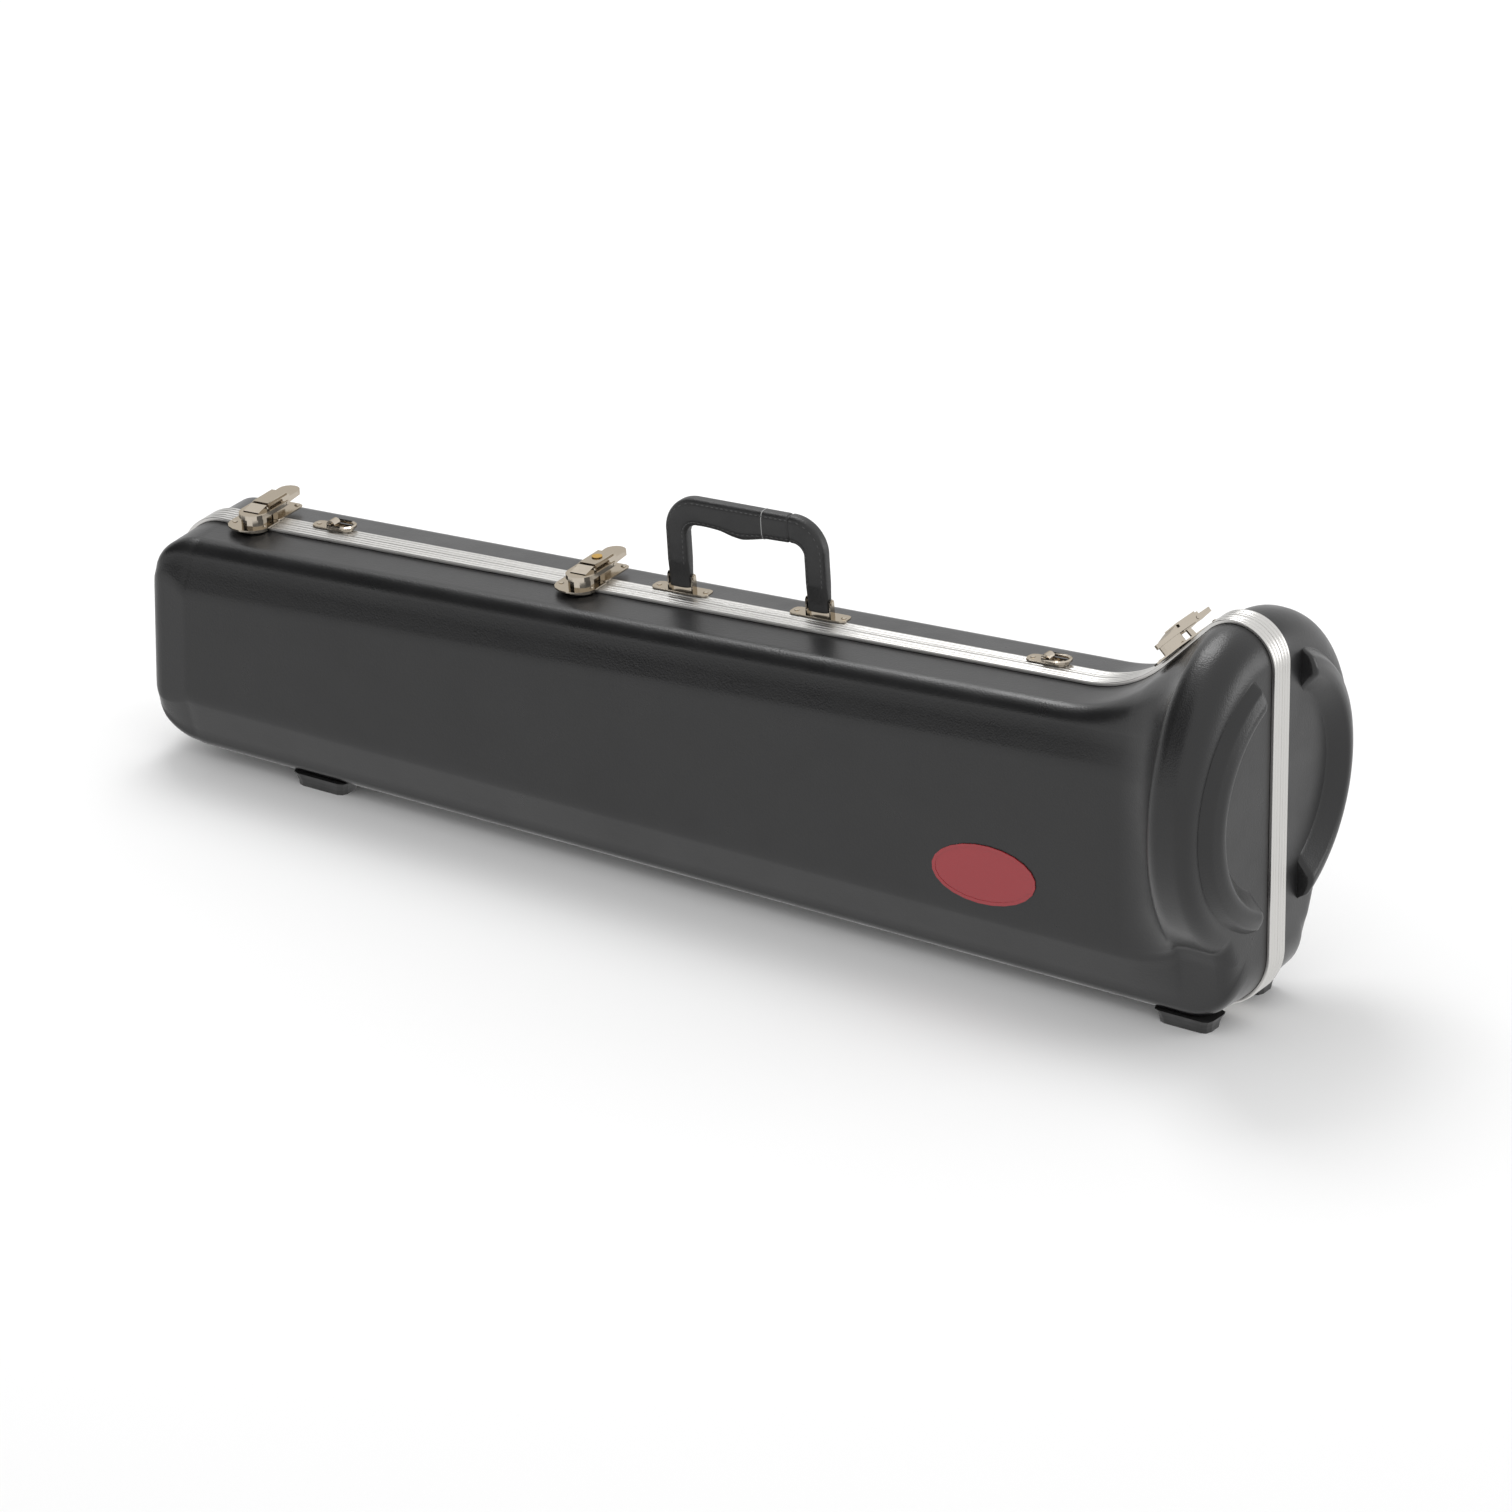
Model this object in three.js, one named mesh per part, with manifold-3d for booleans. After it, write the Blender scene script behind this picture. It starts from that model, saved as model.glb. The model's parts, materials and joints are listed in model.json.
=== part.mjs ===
// Hard case for a tenor trombone: two moulded shells that meet in aluminium valances, with draw
// latches, a hinged handle and padded liners. It stands on its hinge edge, as in the photograph.
// Millimetres, +Z up. While it is built, x runs from the narrow end to the bell end, the lid is at
// -Y and the body at +Y, and z is 0 at the floor. At the end the whole case is centred on x.
import * as THREE from 'three';
import { mergeVertices } from 'three/addons/utils/BufferGeometryUtils.js';
import Module from 'manifold-3d';

const wasm = await Module();
wasm.setup();

// Driving sizes of the shells
const shellLength = 936;
const shellWall = 3;
const narrowTop = 176;
const bodyRise = 0.069;
const shellBottom = 9;
const panelDepth = 64;
const bellCentre = 180;
const bellTop = 307;
const bellRadius = 118;
const bellDrop = 122;
const seamClearance = 0.3;
const shellRim = 2;
const rimLand = 11.2;

// Corners and bevels of the body
const narrowTopRadius = 35;
const narrowBottomRadius = 45;
const narrowCornerRadius = 12;
const narrowBevel = 35;
const narrowBevelDrop = 4;
const shoulderRadius = 15;
const shoulderTurn = THREE.MathUtils.degToRad(80);
const topDraft = 1.5;
const upperBevelRun = 11;
const upperBevelHeight = 25;
const lowerBevelRun = 12;
const lowerBevelHeight = 34;
const bottomRadius = 9;
const bottomDraft = 2;

// The flare towards the bell
const slopeAngle = THREE.MathUtils.degToRad(46);
const slopeRadius = 98;
const crownRadius = 30;
const valleyRadius = 50;
const lipRadius = 14;
const bellBottomRadius = 44;
const blockFoot = 52;
const blockDepth = 60;
const blockTop = 62;
const blockCorner = 14;
const endDraftShare = 0.035;

// Crescent bumpers on the end face
const ringInnerBase = 74;
const ringInnerCrest = 87;
const ringOuterCrest = 100;
const ringOuterBase = 104.5;
const ringHeight = 12;
const ringOuterHeight = 8;
const ringEnd = 34;
const ringRoot = 1.5;

// Valances
const valanceWidth = 10.8;
const valanceHeight = 3;
const seamHalf = 0.15;
const webDepth = 4;
const ribDepth = 0.8;
const ribCount = 4;

// Liners and what they hold
const linerClearance = 1.2;
const linerFace = 3;
const lidLinerFace = 6;
const instrumentRimGap = 20;
const instrumentTube = 12;
const rimWellLength = 30;
const wellLengths = [91, 89];
const wellHalves = [38, 18];
const bowLeft = 340;
const bowRight = 470;
const bowHeight = 140;
const bowRise = 2;
const bowDepth = 34;
const returnRight = 640;
const returnDepth = 24;
const pocketLeft = 70;
const pocketRight = 310;
const pocketBottom = 40;
const pocketTop = 140;
const pocketDepth = 42;
const slideLeft = 60;
const slideBellInset = 70;
const slideRight = shellLength - slideBellInset;
const slideBottom = 30;
const slideTop = 128;
const slideDepth = 36;

// Hinges under the valances
const hingeInset = 150;
const hingeBellInset = 146;
const hingePlaces = [hingeInset, shellLength / 2, shellLength - hingeBellInset];
const hingeLength = 64;
const hingeKnuckles = 3;
const hingeAxisHeight = 3.1;
const hingeKnuckle = 2.2;
const hingePin = 1;
const hingeLeaf = 1.2;
const hingeLeafWidth = 7.6;

// Feet
const footInset = 144;
const footBellInset = 47;
const footPlaces = [footInset, shellLength - footBellInset];
const footLength = 42;
const footWidth = 22;
const footFlare = 6;
const footCentre = 37;
const footCornerRadius = 6;

// Draw latches, in the frame of the seam: u along it, v across it towards the body, w outwards
const latchInset = 65.5;
const latchMiddleShare = 0.38;
const latchSlopeShare = 0.39;
const catchWidth = 34;
const catchShift = 4;
const catchFront = 28.5;
const skirtShare = 0.82;
const plateThick = 1.2;
const plateCorner = 4.5;
const seatGap = 0.3;
const runningGap = 0.3;
const drumRadius = 9.8;
const drumCentre = 13.2;
const drumWall = 1.6;
const drumOpenShare = 0.33;
const drumHeight = 8.8;
const bailThick = 1.4;
const bailHeight = 3.4;
const leverAxisAcross = 3.4;
const leverAxisHeight = 10.2;
const bailPivotReach = 10;
const leverWidth = 16;
const leverOverhang = 7.5;
const leverWall = 1.3;
const leverTop = 4.3;
const coverLength = 26;
const coverThick = 1.4;
const thumbLength = 19;
const thumbWidth = 17;
const thumbDrop = 2;
const thumbRim = 2.4;
const cheekShare = 0.72;
const earThick = 1.5;
const earRadius = 2.5;
const pinRadius = 1.1;
const noseLength = 11;
const noseRise = 3;
const noseClearance = 1.7;
const basePlateLength = 35;
const basePlateWidth = 24;
const rivetRadius = 2;
const rivetHeight = 1;
const rivetEdgeShare = 0.35;
const rivetInset = 4.2;
const lockRadius = 4;
const lockHeight = 0.6;

// Handle
const handleShare = 0.519;
const handlePlace = shellLength * handleShare;
const handleSpacing = 119;
const handleAcross = 13;
const handleAxisHeight = 11.5;
const handleRise = 54;
const postWidth = 18;
const gripThick = 21.5;
const swell = 5;
const handleDepth = 12.5;
const handleCornerRadius = 18;
const handleFootDrop = 7;
const handleFootDepth = 9;
const handleTaper = 14;
const bracketLength = 48.5;
const bracketWidth = 13;
const handlePinRadius = 2;
const handleSides = 12;
const handleSquareness = 0.6;
const bracketEarRadius = 3;
const bracketCorner = 4;
const postShares = [0, 0.15, 0.45, 0.9];
const bendShares = [0, 0.25, 0.5, 0.75, 1];
const gripShares = [0.1, 0.25, 0.36, 0.47, 0.58, 0.72, 0.88];
const swellShares = [-0.05, 0.15, 0.75, 1, 0.6, 0.05, 0.05];

// Rings for a shoulder strap
const strapInset = 121.5;
const strapSweepInset = 43.4;
const strapAcross = 8.6;
const strapPlateLength = 34;
const strapPlateWidth = 12;
const strapWire = 1.5;
const strapRingReach = 18;
const strapRingWidth = 14;
const clipRadius = 3.6;

// Badge
const badgeBellInset = 204;
const badgePlace = shellLength - badgeBellInset;
const badgeHeight = 88;
const badgeLength = 88;
const badgeWidth = 47;
const badgeThick = 1.4;
const badgeSink = 0.8;
const badgeRim = 3;

// Shares that place the stations and the section points
const narrowShares = [0, 0.035, 0.13, 0.3, 0.52, 0.777, 1];
const bodyShares = [0.33, 0.66];
const slopeShares = [0, 0.25, 0.5, 0.75];
const valleyShares = [0, 0.22, 0.42, 0.6, 0.76, 0.88, 0.95];
const lipShares = [0, 0.3, 0.65, 1];
const endShares = [0.3, 0.55, 0.74, 0.88, 0.965, 1];
const shoulderShares = [0.44, 0.72, 1];
const panelShares = [0.25, 0.5, 0.75];
const bellAngleShares = [0.09, 0.17, 0.25, 0.33, 0.41, 0.5, 0.6, 0.71, 0.835];
const topGrowthShares = [0, 0, 0.12, 0.3, 0.5, 0.7, 0.9];
const smallBevelShare = 0.2;
const bevelMidShare = 0.3;

// Counts of facets, from pins to the bell, and shares used by several pieces
const pinSides = 8;
const rivetSides = 6;
const roundSides = 24;
const drumSides = 14;
const arcSteps = 8;
const cornerSteps = 2;
const ringSteps = 14;
const ringTopShare = 0.4;

const materials = {
  shell: new THREE.MeshStandardMaterial({ color: 0x1b1b1c, roughness: 0.55 }),
  aluminium: new THREE.MeshStandardMaterial({ color: 0xc9cbcd, roughness: 0.35, metalness: 1 }),
  nickel: new THREE.MeshStandardMaterial({ color: 0xd8d2c6, roughness: 0.22, metalness: 1 }),
  brass: new THREE.MeshStandardMaterial({ color: 0xc9a56a, roughness: 0.35, metalness: 1 }),
  plush: new THREE.MeshStandardMaterial({ color: 0x2b2d33, roughness: 0.95 }),
  grip: new THREE.MeshStandardMaterial({ color: 0x1d1d1e, roughness: 0.6 }),
  rubber: new THREE.MeshStandardMaterial({ color: 0x161616, roughness: 0.8 }),
  badge: new THREE.MeshStandardMaterial({ color: 0xb3252e, roughness: 0.35 })
};

// Small tools

const mix = (from, to, share) => from + (to - from) * share;
const limit = (value, low, high) => Math.min(Math.max(value, low), high);
const circleDrop = (radius, reach) => radius - Math.sqrt(Math.max(radius * radius - reach * reach, 0));
const vector = (x, y, z) => new THREE.Vector3(x, y, z);

// A closed geometry becomes a manifold solid that can be joined and cut.
function solid(geometry) {
  const bare = geometry.clone();
  for (const name of Object.keys(bare.attributes)) {
    if (name !== 'position') bare.deleteAttribute(name);
  }
  const welded = mergeVertices(bare, 0.0001);
  const mesh = new wasm.Mesh({
    numProp: 3,
    vertProperties: new Float32Array(welded.attributes.position.array),
    triVerts: new Uint32Array(welded.index.array)
  });
  return new wasm.Manifold(mesh);
}

function geometryOf(manifold) {
  const mesh = manifold.getMesh();
  const geometry = new THREE.BufferGeometry();
  const stride = mesh.numProp;
  const count = mesh.vertProperties.length / stride;
  const positions = new Float32Array(count * 3);
  for (let i = 0; i < count; i += 1) {
    for (let k = 0; k < 3; k += 1) positions[i * 3 + k] = mesh.vertProperties[i * stride + k];
  }
  geometry.setAttribute('position', new THREE.BufferAttribute(positions, 3));
  geometry.setIndex(new THREE.BufferAttribute(new Uint32Array(mesh.triVerts), 1));
  return geometry;
}

const fuse = (...geometries) => geometryOf(geometries.map(solid).reduce((sum, next) => sum.add(next)));
const cut = (geometry, ...tools) => geometryOf(tools.map(solid).reduce((rest, tool) => rest.subtract(tool),
  solid(geometry)));

// A surface through rings of points. Its ends are fans round their middles, or follow an outline.
function loft(rings, outline = null) {
  const count = rings[0].length;
  const positions = rings.flat().flatMap((p) => [p.x, p.y, p.z]);
  const faces = [];
  for (let i = 0; i + 1 < rings.length; i += 1) {
    for (let j = 0; j < count; j += 1) {
      const a = i * count + j;
      const b = i * count + (j + 1) % count;
      faces.push(a, b, b + count, a, b + count, a + count);
    }
  }
  const ends = [[0, 1], [rings.length - 1, -1]];
  const flat = outline && outline.map(([a, b]) => new THREE.Vector2(a, b));
  const turned = flat && THREE.ShapeUtils.area(flat) < 0;
  for (const [ring, side] of ends) {
    if (flat) {
      for (const [a, b, c] of THREE.ShapeUtils.triangulateShape(flat, [])) {
        const first = ring * count;
        const forward = (side < 0) !== turned;
        faces.push(first + a, first + (forward ? b : c), first + (forward ? c : b));
      }
      continue;
    }
    const middle = rings[ring].reduce((sum, p) => sum.add(p), vector(0, 0, 0)).divideScalar(count);
    const centre = positions.length / 3;
    positions.push(middle.x, middle.y, middle.z);
    for (let j = 0; j < count; j += 1) {
      const a = ring * count + j;
      const b = ring * count + (j + 1) % count;
      if (side > 0) faces.push(centre, b, a);
      else faces.push(centre, a, b);
    }
  }
  return outward(buffer(positions, faces));
}

function buffer(positions, faces) {
  const geometry = new THREE.BufferGeometry();
  geometry.setAttribute('position', new THREE.Float32BufferAttribute(positions, 3));
  geometry.setIndex(faces);
  return geometry;
}

// Faces are turned over if the body they close has a negative volume.
function outward(geometry) {
  const p = geometry.attributes.position;
  const index = geometry.index.array;
  const a = vector(0, 0, 0);
  const b = vector(0, 0, 0);
  const c = vector(0, 0, 0);
  let volume = 0;
  for (let i = 0; i < index.length; i += 3) {
    a.fromBufferAttribute(p, index[i]);
    b.fromBufferAttribute(p, index[i + 1]);
    c.fromBufferAttribute(p, index[i + 2]);
    volume += a.dot(b.cross(c));
  }
  if (volume < 0) geometry.setIndex(Array.from(index).reverse());
  return geometry;
}

// An outline of [across, up] points pushed along a third direction from one value to another.
function slab(outline, from, to, place) {
  const ring = (at) => outline.map(([a, b]) => place(a, b, at));
  return loft([ring(from), ring(to)], outline);
}

const alongX = (a, b, at) => vector(at, a, b);
const alongY = (a, b, at) => vector(a, at, b);
const alongZ = (a, b, at) => vector(a, b, at);

function circle(radius, sides, centreA = 0, centreB = 0) {
  return Array.from({ length: sides }, (_, i) => {
    const angle = (i + 0.5) / sides * 2 * Math.PI;
    return [centreA + radius * Math.cos(angle), centreB + radius * Math.sin(angle)];
  });
}

function box(x0, x1, y0, y1, z0, z1) {
  return slab([[x0, y0], [x1, y0], [x1, y1], [x0, y1]], z0, z1, alongZ);
}

// A rectangle with rounded corners, as an outline.
function roundedOutline(a0, a1, b0, b1, radius, steps) {
  const corners = [[a1 - radius, b1 - radius, 0], [a0 + radius, b1 - radius, 1],
    [a0 + radius, b0 + radius, 2], [a1 - radius, b0 + radius, 3]];
  return corners.flatMap(([ca, cb, quarter]) => Array.from({ length: steps + 1 }, (_, i) => {
    const angle = (quarter + i / steps) * Math.PI / 2;
    return [ca + radius * Math.cos(angle), cb + radius * Math.sin(angle)];
  }));
}

// Outline of the case in side view

const riseAngle = Math.atan(bodyRise);
const bodyTop = (x) => narrowTop + bodyRise * x;
const crownX = shellLength - crownRadius;
const crownZ = bellTop - crownRadius;
const slopeEndX = crownX - crownRadius * Math.sin(slopeAngle);
const slopeEndZ = crownZ + crownRadius * Math.cos(slopeAngle);
const slopeRate = Math.tan(slopeAngle);
const slopeMeetX = (slopeEndZ - slopeRate * slopeEndX - narrowTop) / (bodyRise - slopeRate);
const slopeTangent = slopeRadius * Math.tan((slopeAngle - riseAngle) / 2);
const sweepStartX = slopeMeetX - slopeTangent * Math.cos(riseAngle);
const sweepEndX = slopeMeetX + slopeTangent * Math.cos(slopeAngle);
const sweepCentreX = sweepStartX - slopeRadius * Math.sin(riseAngle);
const sweepCentreZ = bodyTop(sweepStartX) + slopeRadius * Math.cos(riseAngle);
const latchPlaces = [latchInset, shellLength * latchMiddleShare, mix(sweepEndX, slopeEndX, latchSlopeShare)];
const strapPlaces = [strapInset, sweepStartX - strapSweepInset];

// Height of the parting edge's top: corner, body line, sweep, slope and crown in turn.
function topAt(x) {
  if (x < narrowTopRadius) return bodyTop(narrowTopRadius) - circleDrop(narrowTopRadius, narrowTopRadius - x);
  if (x < sweepStartX) return bodyTop(x);
  if (x < sweepEndX) return sweepCentreZ - slopeRadius + circleDrop(slopeRadius, x - sweepCentreX);
  if (x < slopeEndX) return slopeEndZ - slopeRate * (slopeEndX - x);
  return bellTop - circleDrop(crownRadius, x - crownX);
}

function bottomAt(x) {
  const narrowReach = Math.max(narrowBottomRadius - x, 0);
  const bellReach = Math.max(x - shellLength + bellBottomRadius, 0);
  return shellBottom + circleDrop(narrowBottomRadius, narrowReach) + circleDrop(bellBottomRadius, bellReach);
}

// How far the flanks have grown from the body's depth to the bell's radius, from 0 to 1.
const bulge = bellRadius - panelDepth;
const bulgeTurn = Math.acos(limit(1 - bulge / (valleyRadius + lipRadius), -1, 1));
const bulgeEndX = crownX;
const bulgeStartX = bulgeEndX - (valleyRadius + lipRadius) * Math.sin(bulgeTurn);
const bulgeTurnX = bulgeStartX + valleyRadius * Math.sin(bulgeTurn);

function sideGrowth(x) {
  if (x <= bulgeStartX) return 0;
  if (x >= bulgeEndX) return 1;
  if (x < bulgeTurnX) return circleDrop(valleyRadius, x - bulgeStartX) / bulge;
  return 1 - circleDrop(lipRadius, bulgeEndX - x) / bulge;
}

const topGrowth = (x) => limit((topAt(Math.min(x, crownX)) - bodyTop(x)) / (bellTop - bodyTop(x)), 0, 1);

const stations = [
  ...narrowShares.map((s) => s * narrowBottomRadius),
  ...bodyShares.map((s) => mix(narrowBottomRadius, sweepStartX, s)),
  ...slopeShares.map((s) => mix(sweepStartX, bulgeStartX, s)),
  ...valleyShares.map((s) => mix(bulgeStartX, bulgeTurnX, s)),
  ...lipShares.map((s) => mix(bulgeTurnX, bulgeEndX, s)),
  ...endShares.map((s) => mix(crownX, shellLength, s))
];

// Half sections of a shell, as [depth, height] pairs from the top of the seam to its bottom

// The bevelled body. Towards the narrow end its bevels shrink and its corner rounds off.
function bodySection(x) {
  const share = limit(x / narrowBevel, 0, 1);
  const bevelShare = mix(smallBevelShare, 1, share);
  const corner = circleDrop(narrowCornerRadius, Math.max(narrowCornerRadius - x, 0));
  const depth = panelDepth - narrowBevelDrop * (1 - share) - corner;
  const radius = shoulderRadius * mix(1 - shoulderTurn / Math.PI, 1, share);
  const flat = depth - radius * Math.sin(shoulderTurn) - upperBevelRun * bevelShare;
  const top = x < narrowTopRadius ? topAt(x) : bodyTop(x);
  const bottom = x < narrowBottomRadius ? bottomAt(x) : shellBottom;
  const shoulderZ = top - topDraft * share;
  const shoulder = shoulderShares.map((s) => [flat + radius * Math.sin(s * shoulderTurn),
    shoulderZ - radius * (1 - Math.cos(s * shoulderTurn))]);
  const upper = shoulder.at(-1)[1] - upperBevelHeight * bevelShare;
  const low = bottom + bottomDraft * share;
  const lower = low + bottomRadius + lowerBevelHeight * bevelShare;
  const foot = depth - lowerBevelRun * bevelShare;
  return [[shellRim, top], [rimLand, top], [flat, shoulderZ], ...shoulder, [depth, upper],
    ...panelShares.map((s) => [depth, mix(upper, lower, s)]), [depth, lower],
    [mix(depth, foot, bevelMidShare), mix(lower, low + bottomRadius, bevelMidShare)],
    [foot, low + bottomRadius],
    [foot - bottomRadius * (1 - Math.SQRT1_2), low + bottomRadius * (1 - Math.SQRT1_2)],
    [foot - bottomRadius, low], [rimLand, bottom], [shellRim, bottom]];
}

// The round of the bell on its rectangular base block.
function bellSection(x) {
  const bottom = bottomAt(x);
  const round = bellAngleShares.map((s) => {
    const angle = s * Math.PI;
    const drop = angle < Math.PI / 2 ? bellTop - bellCentre : bellDrop;
    return [rimLand + (bellRadius - rimLand) * Math.sin(angle), bellCentre + drop * Math.cos(angle)];
  });
  const low = bottom + bottomDraft;
  return [[shellRim, bellTop], [rimLand, bellTop], ...round, [blockDepth, blockTop],
    [blockFoot, low + bottomRadius],
    [blockFoot - bottomRadius * (1 - Math.SQRT1_2), low + bottomRadius * (1 - Math.SQRT1_2)],
    [blockFoot - bottomRadius, low], [rimLand, bottom], [shellRim, bottom]];
}

const sectionCount = bodySection(0).length;
const roundStart = 2;
const roundEnd = roundStart + bellAngleShares.length;

// One half section of the finished shell, as points with depth, height and place along x.
function section(x) {
  const body = bodySection(x);
  const bell = bellSection(x);
  const endReach = Math.max(x - crownX, 0);
  return body.map(([bodyDepth, bodyZ], j) => {
    const topShare = 1 - (topGrowthShares[j] ?? 1);
    const growth = mix(sideGrowth(x), topGrowth(x), topShare);
    let depth = mix(bodyDepth, bell[j][0], growth);
    let z = mix(bodyZ, bell[j][1], growth);
    if (j < roundStart) z = topAt(x);
    else if (j < roundEnd) {
      const radius = mix(lipRadius, crownRadius, topShare);
      const inset = circleDrop(radius, Math.max(endReach - crownRadius + radius, 0));
      const away = Math.hypot(depth, z - bellCentre);
      depth -= inset * depth / away;
      z -= inset * (z - bellCentre) / away;
    } else if (depth > rimLand) {
      depth -= circleDrop(blockCorner, Math.max(endReach - crownRadius + blockCorner, 0));
    }
    const draft = endDraftShare * Math.max(depth - rimLand, 0) * endReach / crownRadius;
    return vector(x - draft, depth, z);
  });
}

const outerGrid = stations.map(section);

// Unit normals of the grid, pointing out of the case.
function gridNormal(i, j) {
  const last = stations.length - 1;
  if (i === 0) return vector(-1, 0, 0);
  if (i === last) return vector(1, 0, 0);
  const along = outerGrid[i + 1][j].clone().sub(outerGrid[i - 1][j]);
  const round = outerGrid[i][Math.min(j + 1, sectionCount - 1)].clone().sub(outerGrid[i][Math.max(j - 1, 0)]);
  const normal = along.cross(round);
  if (outerGrid[i][j].y <= rimLand) normal.y = 0;
  return normal.normalize();
}

const normals = outerGrid.map((row, i) => row.map((_, j) => gridNormal(i, j)));

// The grid moved inwards by a distance. Its seam rows lie at the given depth.
function insetGrid(distance, seamDepth) {
  return outerGrid.map((row, i) => row.map((p, j) => {
    const q = p.clone().addScaledVector(normals[i][j], -distance);
    if (j === 0 || j === sectionCount - 1) q.y = seamDepth;
    return q;
  }));
}

// Faces of a grid and its two flat ends. The sign turns them over for an inner skin.
function gridFaces(grid, start, turned) {
  const count = sectionCount;
  const rows = grid.length;
  const faces = [];
  const add = (a, b, c) => faces.push(start + a, start + (turned ? c : b), start + (turned ? b : c));
  for (let i = 0; i + 1 < rows; i += 1) {
    for (let j = 0; j + 1 < count; j += 1) {
      const a = i * count + j;
      add(a, a + 1, a + count + 1);
      add(a, a + count + 1, a + count);
    }
  }
  for (const i of [0, rows - 1]) {
    const outline = grid[i].map((p) => new THREE.Vector2(p.y, p.z));
    for (const [a, b, c] of THREE.ShapeUtils.triangulateShape(outline, [])) {
      const flip = THREE.ShapeUtils.area(outline) < 0;
      const first = i * count;
      const forward = (i === 0) !== flip;
      add(first + a, first + (forward ? c : b), first + (forward ? b : c));
    }
  }
  return faces;
}

const coordinates = (grid) => grid.flat().flatMap((p) => [p.x, p.y, p.z]);

// Mirrors a body-side geometry to the lid side.
function mirrored(geometry) {
  const copy = geometry.clone();
  copy.scale(1, -1, 1);
  copy.setIndex(Array.from(copy.index.array).reverse());
  return copy;
}

// One shell: an outer and an inner skin joined round the seam.
function shellSkin() {
  const inner = insetGrid(shellWall, shellRim);
  const size = outerGrid.length * sectionCount;
  const faces = [...gridFaces(outerGrid, 0, false), ...gridFaces(inner, size, true)];
  const last = sectionCount - 1;
  const quad = (a, b, reverse) => {
    const [c, d] = [a + size, b + size];
    if (reverse) faces.push(a, d, b, a, c, d);
    else faces.push(a, b, d, a, d, c);
  };
  for (let i = 0; i + 1 < outerGrid.length; i += 1) {
    quad(i * sectionCount, (i + 1) * sectionCount, false);
    quad(i * sectionCount + last, (i + 1) * sectionCount + last, true);
  }
  const end = (outerGrid.length - 1) * sectionCount;
  quad(0, last, true);
  quad(end, end + last, false);
  return outward(buffer([...coordinates(outerGrid), ...coordinates(inner)], faces));
}

// A crescent bumper: a ridge swept round the bell's axis and ended in planes beside the seam.
function bumper() {
  const profile = [[ringInnerBase, -ringRoot], [ringInnerBase, 0], [ringInnerCrest, ringHeight],
    [mix(ringInnerCrest, ringOuterCrest, ringTopShare), ringHeight], [ringOuterCrest, ringOuterHeight],
    [ringOuterBase, 0], [ringOuterBase, -ringRoot]];
  const rings = Array.from({ length: ringSteps + 1 }, (_, i) => profile.map(([radius, height]) => {
    const angle = mix(-1, 1, i / ringSteps) * Math.acos(ringEnd / radius);
    const depth = radius * Math.cos(angle);
    const x = shellLength + height - endDraftShare * (depth - rimLand);
    return vector(x, depth, bellCentre + radius * Math.sin(angle));
  }));
  return loft(rings);
}

// Seat and place of the badge on the lid's main panel
const badgeAngle = riseAngle;

function badgeOutline(length, width) {
  return circle(1, roundSides).map(([a, b]) => {
    const along = a * length / 2;
    const up = b * width / 2;
    return [badgePlace + along * Math.cos(badgeAngle) - up * Math.sin(badgeAngle),
      badgeHeight + along * Math.sin(badgeAngle) + up * Math.cos(badgeAngle)];
  });
}

function badgeSeat() {
  return slab(badgeOutline(badgeLength, badgeWidth), panelDepth - badgeSink, panelDepth + shellWall, alongY);
}

function backShell() {
  return fuse(shellSkin(), bumper());
}

function frontShell() {
  return mirrored(cut(fuse(shellSkin(), bumper()), badgeSeat()));
}

function badge() {
  const margin = seamClearance * 2;
  const floor = panelDepth - badgeSink + seamClearance;
  const plate = slab(badgeOutline(badgeLength - margin, badgeWidth - margin), floor, floor + badgeThick,
    alongY);
  const dish = slab(badgeOutline(badgeLength - badgeRim * 2, badgeWidth - badgeRim * 2),
    floor + badgeThick - seamClearance, floor + badgeThick + badgeRim, alongY);
  return mirrored(cut(plate, dish));
}

// The parting edge as a closed outline of [x, z], without the points that lie on straight stretches.
function seamOutline() {
  const top = outerGrid.map((row) => [row[0].x, row[0].z]);
  const bottom = outerGrid.map((row) => [row.at(-1).x, row.at(-1).z]).reverse();
  const all = [...top, ...bottom];
  return all.filter(([x, z], i) => {
    const [px, pz] = all.at(i - 1);
    const [nx, nz] = all[(i + 1) % all.length];
    const bend = (x - px) * (nz - z) - (z - pz) * (nx - x);
    return Math.abs(bend) > seamClearance;
  });
}

// The outline with every point moved outwards along its mitre.
function offsetOutline(outline, distance) {
  return outline.map(([x, z], i) => {
    const before = outline.at(i - 1);
    const after = outline[(i + 1) % outline.length];
    const first = new THREE.Vector2(x - before[0], z - before[1]).normalize();
    const second = new THREE.Vector2(after[0] - x, after[1] - z).normalize();
    const normal = new THREE.Vector2(-first.y - second.y, first.x + second.x).normalize();
    const stretch = distance / (-first.y * normal.x + first.x * normal.y);
    return [x + normal.x * stretch, z + normal.y * stretch];
  });
}

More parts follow.
